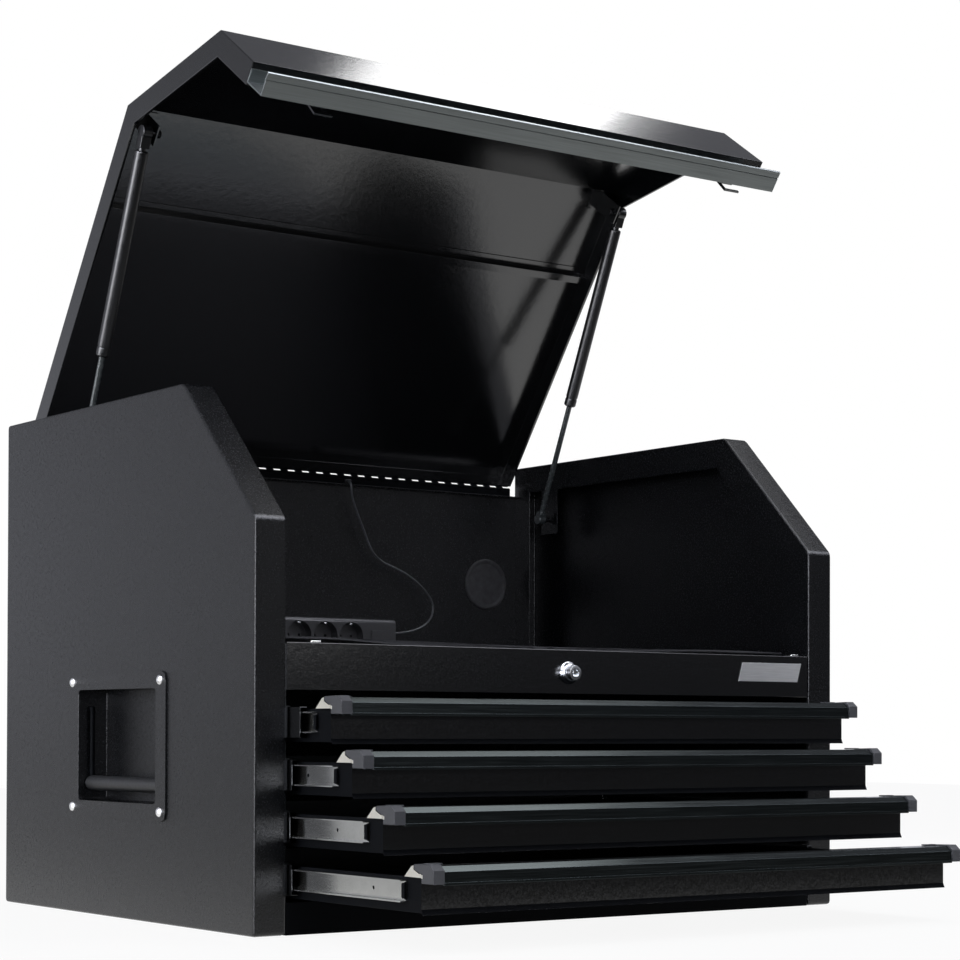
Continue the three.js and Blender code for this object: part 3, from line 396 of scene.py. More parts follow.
# The material of each finish. A finish is named after its slot where it has one of its own.
MATERIAL_MAKERS = {
    "textured_coat": textured_powder_coat,
    "gloss_coat": gloss_powder_coat,
    # Dead matt black as painted shade, under the chest and on the drawers' sides and foot
    "drawer_primer": lambda: dead_matt_black("electrocoat_primer"),
    "stop_nylon": lambda: dead_matt_black("filled_nylon"),
    "pull_extrusion": lambda: anodised_extrusion(
        "black_anodised_extrusion", finishes().extrusion, 0.2),
    "lid_extrusion": lambda: anodised_extrusion(
        "grey_anodised_extrusion", finishes().lid_pull, 0.34),
    "cap_plastic": lambda: moulded_abs(
        "moulded_abs_cap", finishes().cap, sizes().cap_grain, 0.5, 0.62),
    "plug_nylon": natural_nylon,
    "slide_zinc": lambda: zinc_plated_steel("zinc_plated_steel", finishes().zinc),
    # Darker zinc, painted shade on the middle members and the fixed rails
    "shaded_rail_zinc": lambda: zinc_plated_steel("oiled_zinc_plate", finishes().rail),
    "lock_chrome": lambda: polished_metal("chrome_plate", finishes().chrome, 0.14, 0.26, 6 * MM),
    "strip_plastic": lambda: moulded_abs(
        "moulded_abs_strip", finishes().strip, 1.6 * MM, 0.2, 0.42),
    "mat_rubber": lambda: soft_rubber("ribbed_rubber_mat", finishes().rubber, 0.72, 3 * MM),
    "lead_rubber": lambda: soft_rubber("vinyl_lead_jacket", finishes().lead, 0.42, 3 * MM),
    "grommet_rubber": lambda: soft_rubber(
        "moulded_rubber_grommet", finishes().strip, 0.78, 2.5 * MM, 10 * MM, 0.1, 1.8),
    "hinge_coat": lambda: dead_matt_black("blackened_hinge_steel"),
    "grip_coat": lambda: satin_paint("bail_enamel", finishes().coat, 0.5),
    "strut_coat": lambda: satin_paint("strut_enamel", finishes().strut, 0.33),
    "strut_rod": lambda: satin_paint("nitrided_rod", finishes().extrusion, 0.25),
    "rivet_aluminium": lambda: polished_metal(
        "aluminium_rivet", finishes().rivet, 0.3, 0.42, 4 * MM),
    "plate_aluminium": brushed_plate,
}
made_materials = {}


def material_for(finish):
    if finish not in made_materials:
        made_materials[finish] = MATERIAL_MAKERS[finish]()
    return made_materials[finish]


# Modelling by hand


def only(*pieces):
    """Selects these objects alone, with the first one active."""
    bpy.ops.object.select_all(action="DESELECT")
    for piece in pieces:
        piece.select_set(True)
    bpy.context.view_layer.objects.active = pieces[0]


def edit(piece, mode="FACE"):
    only(piece)
    bpy.ops.object.mode_set(mode="EDIT")
    bpy.ops.mesh.select_mode(type=mode)
    bpy.ops.mesh.select_all(action="SELECT")


def leave_edit():
    bpy.ops.object.mode_set(mode="OBJECT")


def select_where(piece, kind, test):
    """Selects the faces, edges or verts of the edited piece that pass a test."""
    mesh = bmesh.from_edit_mesh(piece.data)
    mesh.normal_update()
    bpy.ops.mesh.select_mode(type=kind.upper())
    bpy.ops.mesh.select_all(action="DESELECT")
    found = 0
    for item in getattr(mesh, {"face": "faces", "edge": "edges", "vert": "verts"}[kind]):
        if test(item):
            item.select_set(True)
            found += 1
    mesh.select_flush_mode()
    bmesh.update_edit_mesh(piece.data)
    return found


def across(face, edge):
    """Width of a face, measured from one of its edges."""
    return face.calc_area() / edge.calc_length()


def is_fold(edge, wide):
    return (
        len(edge.link_faces) == 2
        and edge.calc_length() > SHORT_EDGE
        and edge.calc_face_angle(0) > FOLD_ANGLE
        and min(across(face, edge) for face in edge.link_faces) > wide
    )


def apply_modifier(piece, kind, **settings):
    only(piece)
    made = piece.modifiers.new(kind.lower(), kind)
    for key, value in settings.items():
        setattr(made, key, value)
    bpy.ops.object.modifier_apply(modifier=made.name)


def smooth(piece, angle=SHADING_ANGLE):
    """Smooth shading that keeps flat faces flat and sharp edges sharp."""
    only(piece)
    bpy.ops.object.shade_smooth_by_angle(angle=angle)
    apply_modifier(piece, "WEIGHTED_NORMAL", keep_sharp=True, weight=80)


def apply_place(piece):
    only(piece)
    bpy.ops.object.transform_apply(location=True, rotation=True, scale=True)


def finish_piece(piece, name, finish, body, replaces=()):
    """Names a piece, gives it its material, and hands it to the frame."""
    apply_place(piece)
    piece.name = name
    piece.data.name = name
    piece.data.materials.clear()
    piece.data.materials.append(material_for(finish))
    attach(piece, body)
    if replaces:
        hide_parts(*replaces)
    return piece


def merged_copy(node):
    """A copy of a CAD node's mesh as one surface without loose triangles."""
    only(frame["nodes"][node])
    bpy.ops.object.duplicate()
    piece = bpy.context.active_object
    bpy.ops.object.parent_clear(type="CLEAR_KEEP_TRANSFORM")
    for key in list(piece.keys()):
        del piece[key]
    bpy.ops.mesh.customdata_custom_splitnormals_clear()
    edit(piece)
    bpy.ops.mesh.remove_doubles(threshold=MERGE_DISTANCE)
    bpy.ops.mesh.dissolve_limited(angle_limit=FLAT_ANGLE)
    leave_edit()
    return piece


def round_folds(piece, radius, wide, segments=3):
    edit(piece, "EDGE")
    if select_where(piece, "edge", lambda edge: is_fold(edge, wide)):
        bpy.ops.mesh.bevel(offset=radius, segments=segments, affect="EDGES", clamp_overlap=True)
    leave_edit()


def round_rims(piece, radius, segments=2):
    apply_modifier(piece, "BEVEL", width=radius, segments=segments, limit_method="ANGLE",
                   angle_limit=RIM_ANGLE, use_clamp_overlap=True)


def dress(node, finish, fold=0.0, rim=None, wide=WIDE_FACE):
    """Replaces a CAD node by a copy with rounded folds and rims."""
    piece = merged_copy(node)
    if fold:
        round_folds(piece, fold, wide)
    round_rims(piece, sizes().rim if rim is None else rim)
    smooth(piece)
    body = frame["nodes"][node]["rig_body"]
    return finish_piece(piece, f"{node}_finished", finish, body, [node])


def paint_faces(piece, finish, test):
    """Gives the faces that pass a test a second finish."""
    piece.data.materials.append(material_for(finish))
    for face in piece.data.polygons:
        if test(face):
            face.material_index = 1


def turned_piece(profile, steps=ROUND_SIDES):
    """A round body about the Z axis through the origin, drawn as (radius, height) and spun."""
    bpy.ops.mesh.primitive_plane_add(size=MM, location=(0, 0, 0))
    piece = bpy.context.active_object
    edit(piece, "VERT")
    bpy.ops.mesh.merge(type="CENTER")
    here = Vector((0, 0, 0))
    for index, (radius, height) in enumerate(profile):
        step = Vector((radius, 0, height)) - here
        if index == 0:
            bpy.ops.transform.translate(value=step)
        else:
            bpy.ops.mesh.extrude_vertices_move(TRANSFORM_OT_translate={"value": step})
        here = Vector((radius, 0, height))
    bpy.ops.mesh.select_all(action="SELECT")
    bpy.ops.mesh.spin(steps=steps, angle=2 * math.pi, center=(0, 0, 0), axis=(0, 0, 1))
    bpy.ops.mesh.select_all(action="SELECT")
    bpy.ops.mesh.remove_doubles(threshold=MERGE_DISTANCE)
    bpy.ops.mesh.normals_make_consistent(inside=False)
    leave_edit()
    return piece


def stand(piece, place, axis, up="Y"):
    """Turns a piece's Z axis to a direction, and moves its origin to a place."""
    turn = Vector(axis).to_track_quat("Z", up).to_matrix().to_4x4()
    piece.matrix_world = Matrix.Translation(place) @ turn
    apply_place(piece)
    return piece


def shaft(radius, start, end, edge=0.0, steps=ROUND_SIDES):
    """A round bar between two points, with its ends eased."""
    start, end = Vector(start), Vector(end)
    length = (end - start).length
    edge = edge or radius * 0.08
    piece = turned_piece([
        (0, 0), (radius - edge, 0), (radius, edge), (radius, length - edge),
        (radius - edge, length), (0, length)], steps)
    return stand(piece, start, end - start)


def block(low, high, edge):
    """A box between two corners with rounded edges."""
    low, high = Vector(low), Vector(high)
    bpy.ops.object.select_all(action="DESELECT")
    bpy.ops.mesh.primitive_cube_add(size=1, location=(low + high) / 2)
    piece = bpy.context.active_object
    piece.scale = [abs(s) for s in high - low]
    apply_place(piece)
    edit(piece, "EDGE")
    bpy.ops.mesh.bevel(offset=edge, segments=3, affect="EDGES", clamp_overlap=True)
    leave_edit()
    return piece


def joined(pieces):
    only(*pieces)
    bpy.ops.object.join()
    return bpy.context.active_object


def mirrored_x(point, sign):
    return Vector((point[0] * sign, point[1], point[2]))


def joint(name):
    return next(j for j in frame["joints"] if j["name"] == name)


# Operators


class CHEST_OT_camera(bpy.types.Operator):
    """Sets the camera where the photograph was taken."""

    bl_idname = "chest.camera"
    bl_label = "Camera"

    def execute(self, context):
        bpy.ops.object.camera_add(location=CAMERA_PLACE)
        camera = context.active_object
        camera.name = "photo_camera"
        ahead = Vector((
            math.sin(CAMERA_YAW) * math.cos(CAMERA_PITCH),
            math.cos(CAMERA_YAW) * math.cos(CAMERA_PITCH),
            math.sin(CAMERA_PITCH)))
        camera.rotation_mode = "QUATERNION"
        turn = ahead.to_track_quat("-Z", "Y").to_matrix()
        roll = Matrix.Rotation(CAMERA_ROLL, 3, "Z")
        camera.rotation_quaternion = (turn @ roll).to_quaternion()
        camera.data.sensor_width = SENSOR_WIDTH_MM
        camera.data.lens = CAMERA_FOCAL_PIXELS / PHOTO_PIXELS * SENSOR_WIDTH_MM
        camera.data.shift_x = 0.5 - CAMERA_CENTRE_PIXELS[0] / PHOTO_PIXELS
        camera.data.shift_y = CAMERA_CENTRE_PIXELS[1] / PHOTO_PIXELS - 0.5
        camera.data.clip_start = 0.05
        camera.data.clip_end = 60
        context.scene.camera = camera
        return {"FINISHED"}


class CHEST_OT_lead(bpy.types.Operator):
    """Lays the thin lead from the power strip up to the clip on the back panel."""

    bl_idname = "chest.lead"
    bl_label = "Thin lead"

    def execute(self, context):
        bpy.ops.curve.primitive_bezier_curve_add(location=(0, 0, 0))
        lead = context.active_object
        lead.name = "thin_lead"
        curve = lead.data
        curve.splines.clear()
        spline = curve.splines.new("NURBS")
        points = [Vector(p) * MM for p in LEAD_ROUTE_MM]
        spline.points.add(len(points) - 1)
        for point, place in zip(spline.points, points):
            point.co = (*place, 1)
        spline.order_u = 3
        spline.use_endpoint_u = True
        spline.resolution_u = 8
        curve.dimensions = "3D"
        curve.bevel_depth = LEAD_DIAMETER / 2
        curve.bevel_resolution = 5
        curve.use_fill_caps = True
        curve.materials.append(material_for("lead_rubber"))
        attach(lead, "cabinet")
        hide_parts("lamp_lead")
        return {"FINISHED"}


class CHEST_OT_cabinet(bpy.types.Operator):
    """Coats the cabinet's folded steel."""

    bl_idname = "chest.cabinet"
    bl_label = "Cabinet"

    def execute(self, context):
        for side in SIDES:
            dress(f"side_panel_{side}", "textured_coat", fold=sizes().fold, wide=2.5 * MM)
            liner = dress(f"side_liner_{side}", "textured_coat", fold=sizes().fold, rim=0.05 * MM)
            self.plate_rails(liner)
        dress("back_panel", "textured_coat", fold=sizes().fold)
        # The base pan takes the dead matt black, painted shade under the chest
        dress("base_pan", "drawer_primer", fold=sizes().fold)
        dress("hutch_floor", "textured_coat")
        dress("lock_panel", "gloss_coat", fold=sizes().fold)
        return {"FINISHED"}

    def plate_rails(self, liner):
        """The fixed rails on the liner are zinc plated, like the slides that run in them, and take
        the darker zinc that paints their shade.
        """
        reach = 3.5 * MM
        spans = []
        for number in DRAWERS:
            low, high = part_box(f"drawer_{number}_slide_middle_left")
            spans.append((low.z - reach, high.z + reach))
        outside = max(abs(v.co.x) for v in liner.data.vertices) - 1.4 * MM
        paint_faces(liner, "shaded_rail_zinc", lambda face: abs(face.center.x) < outside and any(
            low < face.center.z < high for low, high in spans))


class CHEST_OT_lid(bpy.types.Operator):
    """Coats the lid, its stiffener and hinge, and finishes its pull."""

    bl_idname = "chest.lid"
    bl_label = "Lid"

    dust_strip_low = 610 * MM
    dust_strip_high = 621.6 * MM

    def execute(self, context):
        dress("lid_shell", "gloss_coat", fold=sizes().fold)
        dress("lid_stiffener", "gloss_coat", fold=0.5 * MM)
        dress("lid_pull", "lid_extrusion", rim=0.15 * MM)
        dress("hinge_lower_leaf", "hinge_coat", rim=0.1 * MM)
        dress("hinge_upper_leaf", "hinge_coat", rim=0.1 * MM)
        self.dust_strip()
        return {"FINISHED"}

    def dust_strip(self):
        """A thin strip closes the gaps between the lower knuckles."""
        low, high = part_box("hinge_lower_leaf")
        strip = block((low.x, high.y - 0.1 * MM, self.dust_strip_low),
                      (high.x, high.y + 0.5 * MM, self.dust_strip_high), 0.1 * MM)
        smooth(strip)
        finish_piece(strip, "hinge_dust_strip", "hinge_coat", "cabinet")


class CHEST_OT_drawers(bpy.types.Operator):
    """Finishes the drawers, their pulls, end caps and end plugs."""

    bl_idname = "chest.drawers"
    bl_label = "Drawers"

    foot_height = 8 * MM

    def execute(self, context):
        for number in DRAWERS:
            body = dress(f"drawer_{number}_body", "gloss_coat", fold=0.9 * MM)
            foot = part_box(f"drawer_{number}_body")[0].z + self.foot_height
            # Painted shade: the sides and the folded-in foot of the front get dead matt black,
            # which keeps them dark
            paint_faces(body, "drawer_primer", lambda face: abs(face.normal.x) > 0.9 or (
                face.center.z < foot and abs(face.normal.y) < 0.995))
            for side, sign in SIDES.items():
                dress(f"drawer_{number}_pull_cap_{side}", "cap_plastic", rim=0.7 * MM)
                self.end_plug(number, side, sign)
            dress(f"drawer_{number}_pull", "pull_extrusion", rim=0.35 * MM)
        return {"FINISHED"}

    def end_plug(self, number, side, sign):
        """A nylon plug closes each end of the extrusion, outside the cap's arm."""
        depth, proud = 0.8 * MM, 0.4 * MM
        low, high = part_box(f"drawer_{number}_pull")
        plane = sign * (high.x - depth)
        piece = merged_copy(f"drawer_{number}_pull")
        edit(piece)
        bpy.ops.mesh.bisect(plane_co=(plane, 0, 0), plane_no=(sign, 0, 0), use_fill=True,
                            clear_inner=True)
        bpy.ops.mesh.select_all(action="SELECT")
        bpy.ops.transform.translate(value=(sign * proud, 0, 0))
        leave_edit()
        round_rims(piece, 0.2 * MM)
        smooth(piece)
        peg_low = Vector((high.x - 6 * MM, low.y + 19.4 * MM, low.z + 6.6 * MM))
        peg_high = peg_low + Vector((6.2 * MM, 3.2 * MM, 4.6 * MM))
        peg = block(mirrored_x(peg_low, sign), mirrored_x(peg_high, sign), 0.8 * MM)
        smooth(peg)
        plug = joined([piece, peg])
        finish_piece(plug, f"drawer_{number}_end_plug_{side}", "plug_nylon", f"drawer_{number}")


class CHEST_OT_slides(bpy.types.Operator):
    """Plates the ball slides."""

    bl_idname = "chest.slides"
    bl_label = "Slides"

    def execute(self, context):
        for number in DRAWERS:
            for side, sign in SIDES.items():
                # The middle members take the darker zinc, painted shade; the inner members keep
                # the bright zinc
                for member, finish in (("middle", "shaded_rail_zinc"), ("inner", "slide_zinc")):
                    dress(f"drawer_{number}_slide_{member}_{side}", finish, fold=0.5 * MM,
                          rim=0.2 * MM)
                self.stop(number, side, sign)
        return {"FINISHED"}

    def stop(self, number, side, sign):
        """A moulded stop fills the front end of the inner member."""
        low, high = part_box(f"drawer_{number}_slide_inner_{side}")
        reach, width = 6.5 * MM, 17 * MM
        middle = (low.z + high.z) / 2
        inside = min(abs(low.x), abs(high.x))
        stop = block(
            mirrored_x((inside + 1.2 * MM, low.y + 1 * MM, middle - width / 2), sign),
            mirrored_x((inside + 4.5 * MM, low.y + reach, middle + width / 2), sign), 1.2 * MM)
        smooth(stop)
        finish_piece(stop, f"drawer_{number}_slide_stop_{side}", "stop_nylon", f"drawer_{number}")


class CHEST_OT_struts(bpy.types.Operator):
    """Builds the gas struts with their fittings."""

    bl_idname = "chest.struts"
    bl_label = "Gas struts"

    tube_radius = 9 * MM
    rod_radius = 4 * MM
    tube_start = 24.5 * MM
    tube_end = 301 * MM
    length = 485.15 * MM

    def execute(self, context):
        for side in SIDES:
            top = Vector(joint(f"{side}_strut_swing")["pos_m"])
            along = -Vector(joint(f"{side}_strut_slide")["axis"]).normalized()
            self.tube(side, top, along)
            self.rod(side, top + along * self.length, -along)
        return {"FINISHED"}

    def tube(self, side, top, along):
        radius = self.tube_radius
        body = turned_piece([
            (0, self.tube_start), (radius - 2.2 * MM, self.tube_start),
            (radius - 0.6 * MM, self.tube_start + 0.8 * MM), (radius, self.tube_start + 2.6 * MM),
            (radius, self.tube_end - 15 * MM), (radius - 0.7 * MM, self.tube_end - 13.6 * MM),
            (radius - 0.7 * MM, self.tube_end - 12.4 * MM), (radius, self.tube_end - 11 * MM),
            (radius, self.tube_end - 2.4 * MM), (radius - 1.4 * MM, self.tube_end - 0.6 * MM),
            (radius - 3 * MM, self.tube_end), (self.rod_radius + 0.3 * MM, self.tube_end),
            (self.rod_radius + 0.3 * MM, self.tube_end - 6 * MM), (0, self.tube_end - 6 * MM)])
        stand(body, top, along)
        neck = shaft(5 * MM, top + along * 17 * MM, top + along * 25 * MM)
        fitting = self.eye(top, along, 9 * MM, 14 * MM, 20.5 * MM)
        piece = joined([body, neck, fitting])
        smooth(piece)
        finish_piece(piece, f"strut_tube_{side}", "strut_coat", f"{side}_strut_cylinder",
                     [f"strut_cylinder_{side}"])

    def rod(self, side, low, along):
        bar = shaft(self.rod_radius, low + along * 6 * MM, low + along * 238 * MM)
        neck = shaft(5 * MM, low + along * 6 * MM, low + along * 13 * MM)
        fitting = self.eye(low, along, 8 * MM, 12 * MM, 11 * MM)
        piece = joined([bar, neck, fitting])
        smooth(piece)
        finish_piece(piece, f"strut_rod_finished_{side}", "strut_rod", f"{side}_strut_rod",
                     [f"strut_rod_{side}"])

    def eye(self, centre, along, radius, width, reach):
        """A moulded end: a round eye across the stud and a square shank."""
        half = Vector((width / 2, 0, 0))
        round_end = shaft(radius, centre - half, centre + half, 0.8 * MM)
        shank = block((-width / 2, -radius * 0.78, 0), (width / 2, radius * 0.78, reach), 1.2 * MM)
        return joined([round_end, stand(shank, centre, along, "X")])


class CHEST_OT_handles(bpy.types.Operator):
    """Finishes the side handles: the pressed plate, its rivets and the bail."""

    bl_idname = "chest.handles"
    bl_label = "Side handles"

    rivet_places_mm = [(127.0, 298.0), (-111.0, 298.0), (126.0, 137.0), (-111.0, 136.5)]

    def execute(self, context):
        for side, sign in SIDES.items():
            dress(f"handle_plate_{side}", "textured_coat", fold=0.8 * MM, rim=0.9 * MM)
            self.rivets(side, sign)
            self.bail(side, sign)
        return {"FINISHED"}

    def rivets(self, side, sign):
        low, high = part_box(f"handle_plate_{side}")
        face = max(abs(low.x), abs(high.x))
        radius, height = sizes().rivet_diameter / 2, sizes().rivet_height
        heads = []
        for back, up in self.rivet_places_mm:
            dome = turned_piece([
                (0, -0.4 * MM), (radius, -0.4 * MM), (radius, 0.3 * MM),
                (radius * 0.9, height * 0.42), (radius * 0.7, height * 0.74),
                (radius * 0.4, height * 0.94), (0, height)], 32)
            heads.append(stand(dome, (sign * face, back * MM, up * MM), (sign, 0, 0)))
        piece = joined(heads)
        smooth(piece, ROUND_SHADING_ANGLE)
        finish_piece(piece, f"handle_rivets_{side}", "rivet_aluminium", "cabinet")

    def bail(self, side, sign):
        node = f"handle_grip_{side}"
        low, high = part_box(node)
        pivot = Vector(joint(f"{side}_handle_swing")["pos_m"])
        grip_radius, rod_radius, pin_radius, pin_length = 9.5 * MM, 3.2 * MM, 2.6 * MM, 4.8 * MM
        bottom = low.z + grip_radius
        front, rear = low.y + pin_length, high.y - pin_length
        length = rear - front
        grip = turned_piece([
            (0, 0), (grip_radius - 2 * MM, 0), (grip_radius - 0.5 * MM, 1.2 * MM),
            (grip_radius, 4 * MM), (grip_radius, length - 4 * MM),
            (grip_radius - 0.5 * MM, length - 1.2 * MM), (grip_radius - 2 * MM, length),
            (0, length)])
        parts = [stand(grip, (pivot.x, front, bottom), (0, 1, 0))]
        for arm, pin_end in ((front + rod_radius, low.y), (rear - rod_radius, high.y)):
            foot, corner, end = (
                (pivot.x, arm, bottom), (pivot.x, arm, pivot.z), (pivot.x, pin_end, pivot.z))
            parts.append(shaft(rod_radius, foot, corner, steps=24))
            bpy.ops.mesh.primitive_uv_sphere_add(
                segments=24, ring_count=12, radius=rod_radius, location=corner)
            parts.append(bpy.context.active_object)
            apply_place(parts[-1])
            parts.append(shaft(pin_radius, corner, end, steps=24))
        piece = joined(parts)
        smooth(piece, math.radians(40))
        finish_piece(piece, f"bail_{side}", "grip_coat", f"{side}_handle", [node])
        # Painted shade: the arms get the hinges' dead matt black, which keeps them dark in the
        # recess
        paint_faces(piece, "hinge_coat", lambda face: face.center.z > bottom + grip_radius)


class CHEST_OT_lock(bpy.types.Operator):
    """Builds the tubular lock in the middle of the lock panel."""

    bl_idname = "chest.lock"
    bl_label = "Lock"

    def execute(self, context):
        low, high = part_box("lock_housing")
        centre = Vector((0, low.y, (low.z + high.z) / 2))
        bore, sleeve, outer = 9.8 * MM, 12.6 * MM, 14.2 * MM
        length = high.y - low.y
        housing = turned_piece([
            (bore, -2.6 * MM), (10.6 * MM, -3 * MM), (11.4 * MM, -2.6 * MM), (13.2 * MM, 0.4 * MM),
            (outer, 1.2 * MM), (outer, 2.2 * MM), (sleeve, 2.2 * MM), (sleeve, 3.8 * MM),
            (sleeve + 4 * MM, 3.8 * MM), (sleeve + 4 * MM, 10.8 * MM), (sleeve, 10.8 * MM),
            (sleeve, length), (bore, length), (bore, -2.6 * MM)])
        stand(housing, centre, (0, 1, 0))
        smooth(housing)
        finish_piece(housing, "lock_bezel", "lock_chrome", "cabinet", ["lock_housing"])
        self.barrel(centre.z)
        return {"FINISHED"}

    def barrel(self, height):
        low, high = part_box("lock_barrel")
        radius = high.x
        barrel = turned_piece([
            (0, 1.2 * MM), (2.7 * MM, 1.2 * MM), (2.9 * MM, 1.4 * MM), (2.9 * MM, 6 * MM),
            (4.6 * MM, 6 * MM), (4.6 * MM, 0.3 * MM), (4.9 * MM, 0), (radius - 1.1 * MM, 0),
            (radius - 0.3 * MM, 0.3 * MM), (radius, 1.1 * MM), (radius, high.y - low.y),
            (0, high.y - low.y)])
        stand(barrel, (0, low.y, height), (0, 1, 0))
        smooth(barrel)
        finish_piece(barrel, "lock_plug", "lock_chrome", "lock_barrel", ["lock_barrel"])


class CHEST_OT_power_strip(bpy.types.Operator):
    """Finishes the power strip and sets the earth clips into its sockets."""

    bl_idname = "chest.power_strip"
    bl_label = "Power strip"

    socket_count = 4
    socket_pitch = 45.6 * MM
    first_socket = 35 * MM
    socket_rise = 35 * MM
    clip_radius = 17.5 * MM

    def execute(self, context):
        dress("power_strip", "strip_plastic", rim=0.5 * MM)
        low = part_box("power_strip")[0]
        front = low.y + 3 * MM
        clips = []
        for index in range(self.socket_count):
            centre_x = low.x + self.first_socket + index * self.socket_pitch
            for up in (-1, 1):
                height = low.z + self.socket_rise + up * self.clip_radius
                clips.append(block(
                    (centre_x - 2.5 * MM, front + 1 * MM, height - 1 * MM),
                    (centre_x + 2.5 * MM, front + 12 * MM, height + 1 * MM), 0.5 * MM))
        piece = joined(clips)
        smooth(piece)
        finish_piece(piece, "socket_earth_clips", "lock_chrome", "cabinet")
        return {"FINISHED"}


class CHEST_OT_soft_fittings(bpy.types.Operator):
    """Finishes the floor mat and the cable grommet."""

    bl_idname = "chest.soft_fittings"
    bl_label = "Mat and grommet"

    crease_angle = math.radians(50)

    def execute(self, context):
        mat = merged_copy("hutch_mat")
        edit(mat, "EDGE")
        select_where(mat, "edge", lambda edge: edge.calc_face_angle(0) > self.crease_angle)
        bpy.ops.transform.edge_crease(value=1)
        leave_edit()
        apply_modifier(mat, "SUBSURF", levels=2, render_levels=2)
        smooth(mat)
        finish_piece(mat, "floor_mat", "mat_rubber", "cabinet", ["hutch_mat"])
        self.grommet()
        return {"FINISHED"}

    def grommet(self):
        """A round rubber membrane in a rolled ring, closed on both faces of the back panel."""
        low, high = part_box("cable_grommet")
        radius, depth = (high.x - low.x) / 2, high.y - low.y
        ring = 5 * MM
        neck = radius - 4.2 * MM
        piece = turned_piece([
            (0, 2.4 * MM), (radius * 0.3, 2.2 * MM), (radius - ring - 3 * MM, 2.6 * MM),
            (radius - ring - 1.2 * MM, 1.6 * MM), (radius - ring, 0.4 * MM),
            (radius - ring / 2, 0), (radius - 0.8 * MM, 0.6 * MM), (radius, 2 * MM),
            (radius, depth - 0.4 * MM), (neck, depth - 0.4 * MM), (neck, depth),
            (0, depth)], 64)
        centre = Vector(((low.x + high.x) / 2, low.y, (low.z + high.z) / 2))
        stand(piece, centre, (0, 1, 0))
        smooth(piece, ROUND_SHADING_ANGLE)
        finish_piece(piece, "grommet_membrane", "grommet_rubber", "cabinet",
                     ["cable_grommet"])


class CHEST_OT_plates(bpy.types.Operator):
    """Adds the bare plates where a maker's signs would be, and the catches on the lock panel."""

    bl_idname = "chest.plates"
    bl_label = "Bare plates"

    plate_left, plate_right = 287 * MM, 394 * MM
    plate_low, plate_high = 304 * MM, 329 * MM
    plate_slant = 7 * MM
    catch_width = 14 * MM
    catch_places = (-375 * MM, 392 * MM)

    def execute(self, context):
        low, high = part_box("lock_panel")
        middle = (self.plate_low + self.plate_high) / 2
        plate = block((self.plate_left, low.y - 1.4 * MM, self.plate_low),
                      (self.plate_right, low.y - 0.1 * MM, self.plate_high), 0.3 * MM)
        edit(plate, "VERT")
        select_where(plate, "vert", lambda vert: vert.co.z > middle)
        bpy.ops.transform.translate(value=(self.plate_slant, 0, 0))
        leave_edit()
        smooth(plate)
        finish_piece(plate, "panel_plate", "plate_aluminium", "cabinet")
        piece = joined([
            block((left, low.y + 9 * MM, high.z + 0.05 * MM),
                  (left + self.catch_width, low.y + 21 * MM, high.z + 3 * MM), 0.8 * MM)
            for left in self.catch_places])
        smooth(piece)
        finish_piece(piece, "panel_catches", "slide_zinc", "cabinet")
        return {"FINISHED"}


FLOOR_SIZE = 12
# The floor shows mostly its own white to the camera, and the rest of it takes the shadows
FLOOR_GLOW = 1.08
FLOOR_GLOW_SHARE = 0.84
ROOM_LIGHT = 0.3
ROOM_TINT = (0.94, 0.96, 1.06, 1)

# Bright areas of the room that light nothing and show only in reflections: painted reflections,
# which paint the highlights on folds and edges. Each multiplies ramps along the axes of the
# reflected direction: the axis, where the ramp starts and ends, and its values there.
PAINTED_REFLECTIONS = (
    # White wall behind the chest
    (("Y", -0.2, 0.25, 0, 0.62), ("Z", -0.05, 0.4, 1.25, 0.28)),
    # Painted reflection of a faint band above the horizon in front
    (("Y", -0.4, -0.2, 0.3, 0), ("Z", 0.05, 0.14, 0, 1), ("Z", 0.14, 0.3, 1, 0)),
    # Painted reflection at the left, low down, for highlights on left-facing folds and edges, and
    # its narrower upper part
    (("X", -0.55, -0.3, 12, 0), ("Y", 0.1, 0.4, 1, 0), ("Z", 0.1, 0.25, 1, 0)),
    (("X", -0.55, -0.3, 12, 0), ("Y", 0.1, 0.4, 1, 0), ("Y", -0.25, -0.05, 0, 1),
     ("Z", 0.1, 0.25, 0, 1), ("Z", 0.5, 0.65, 1, 0)),
    # Painted reflection high in front, for highlights on the horizontal front folds
    (("Y", -0.36, -0.22, 8, 0), ("Z", 0.45, 0.6, 0, 1)),
)


def ramp(tree, value, start, end, low, high):
    return add_node(tree, "ShaderNodeMapRange", {
        "Value": value, "From Min": start, "From Max": end, "To Min": low, "To Max": high},
        interpolation_type="SMOOTHSTEP").outputs["Result"]


def calculate(tree, operation, first, *others):
    """Adds or multiplies values one after another."""
    for other in others:
        first = add_node(
            tree, "ShaderNodeMath", {0: first, 1: other}, operation=operation).outputs["Value"]
    return first


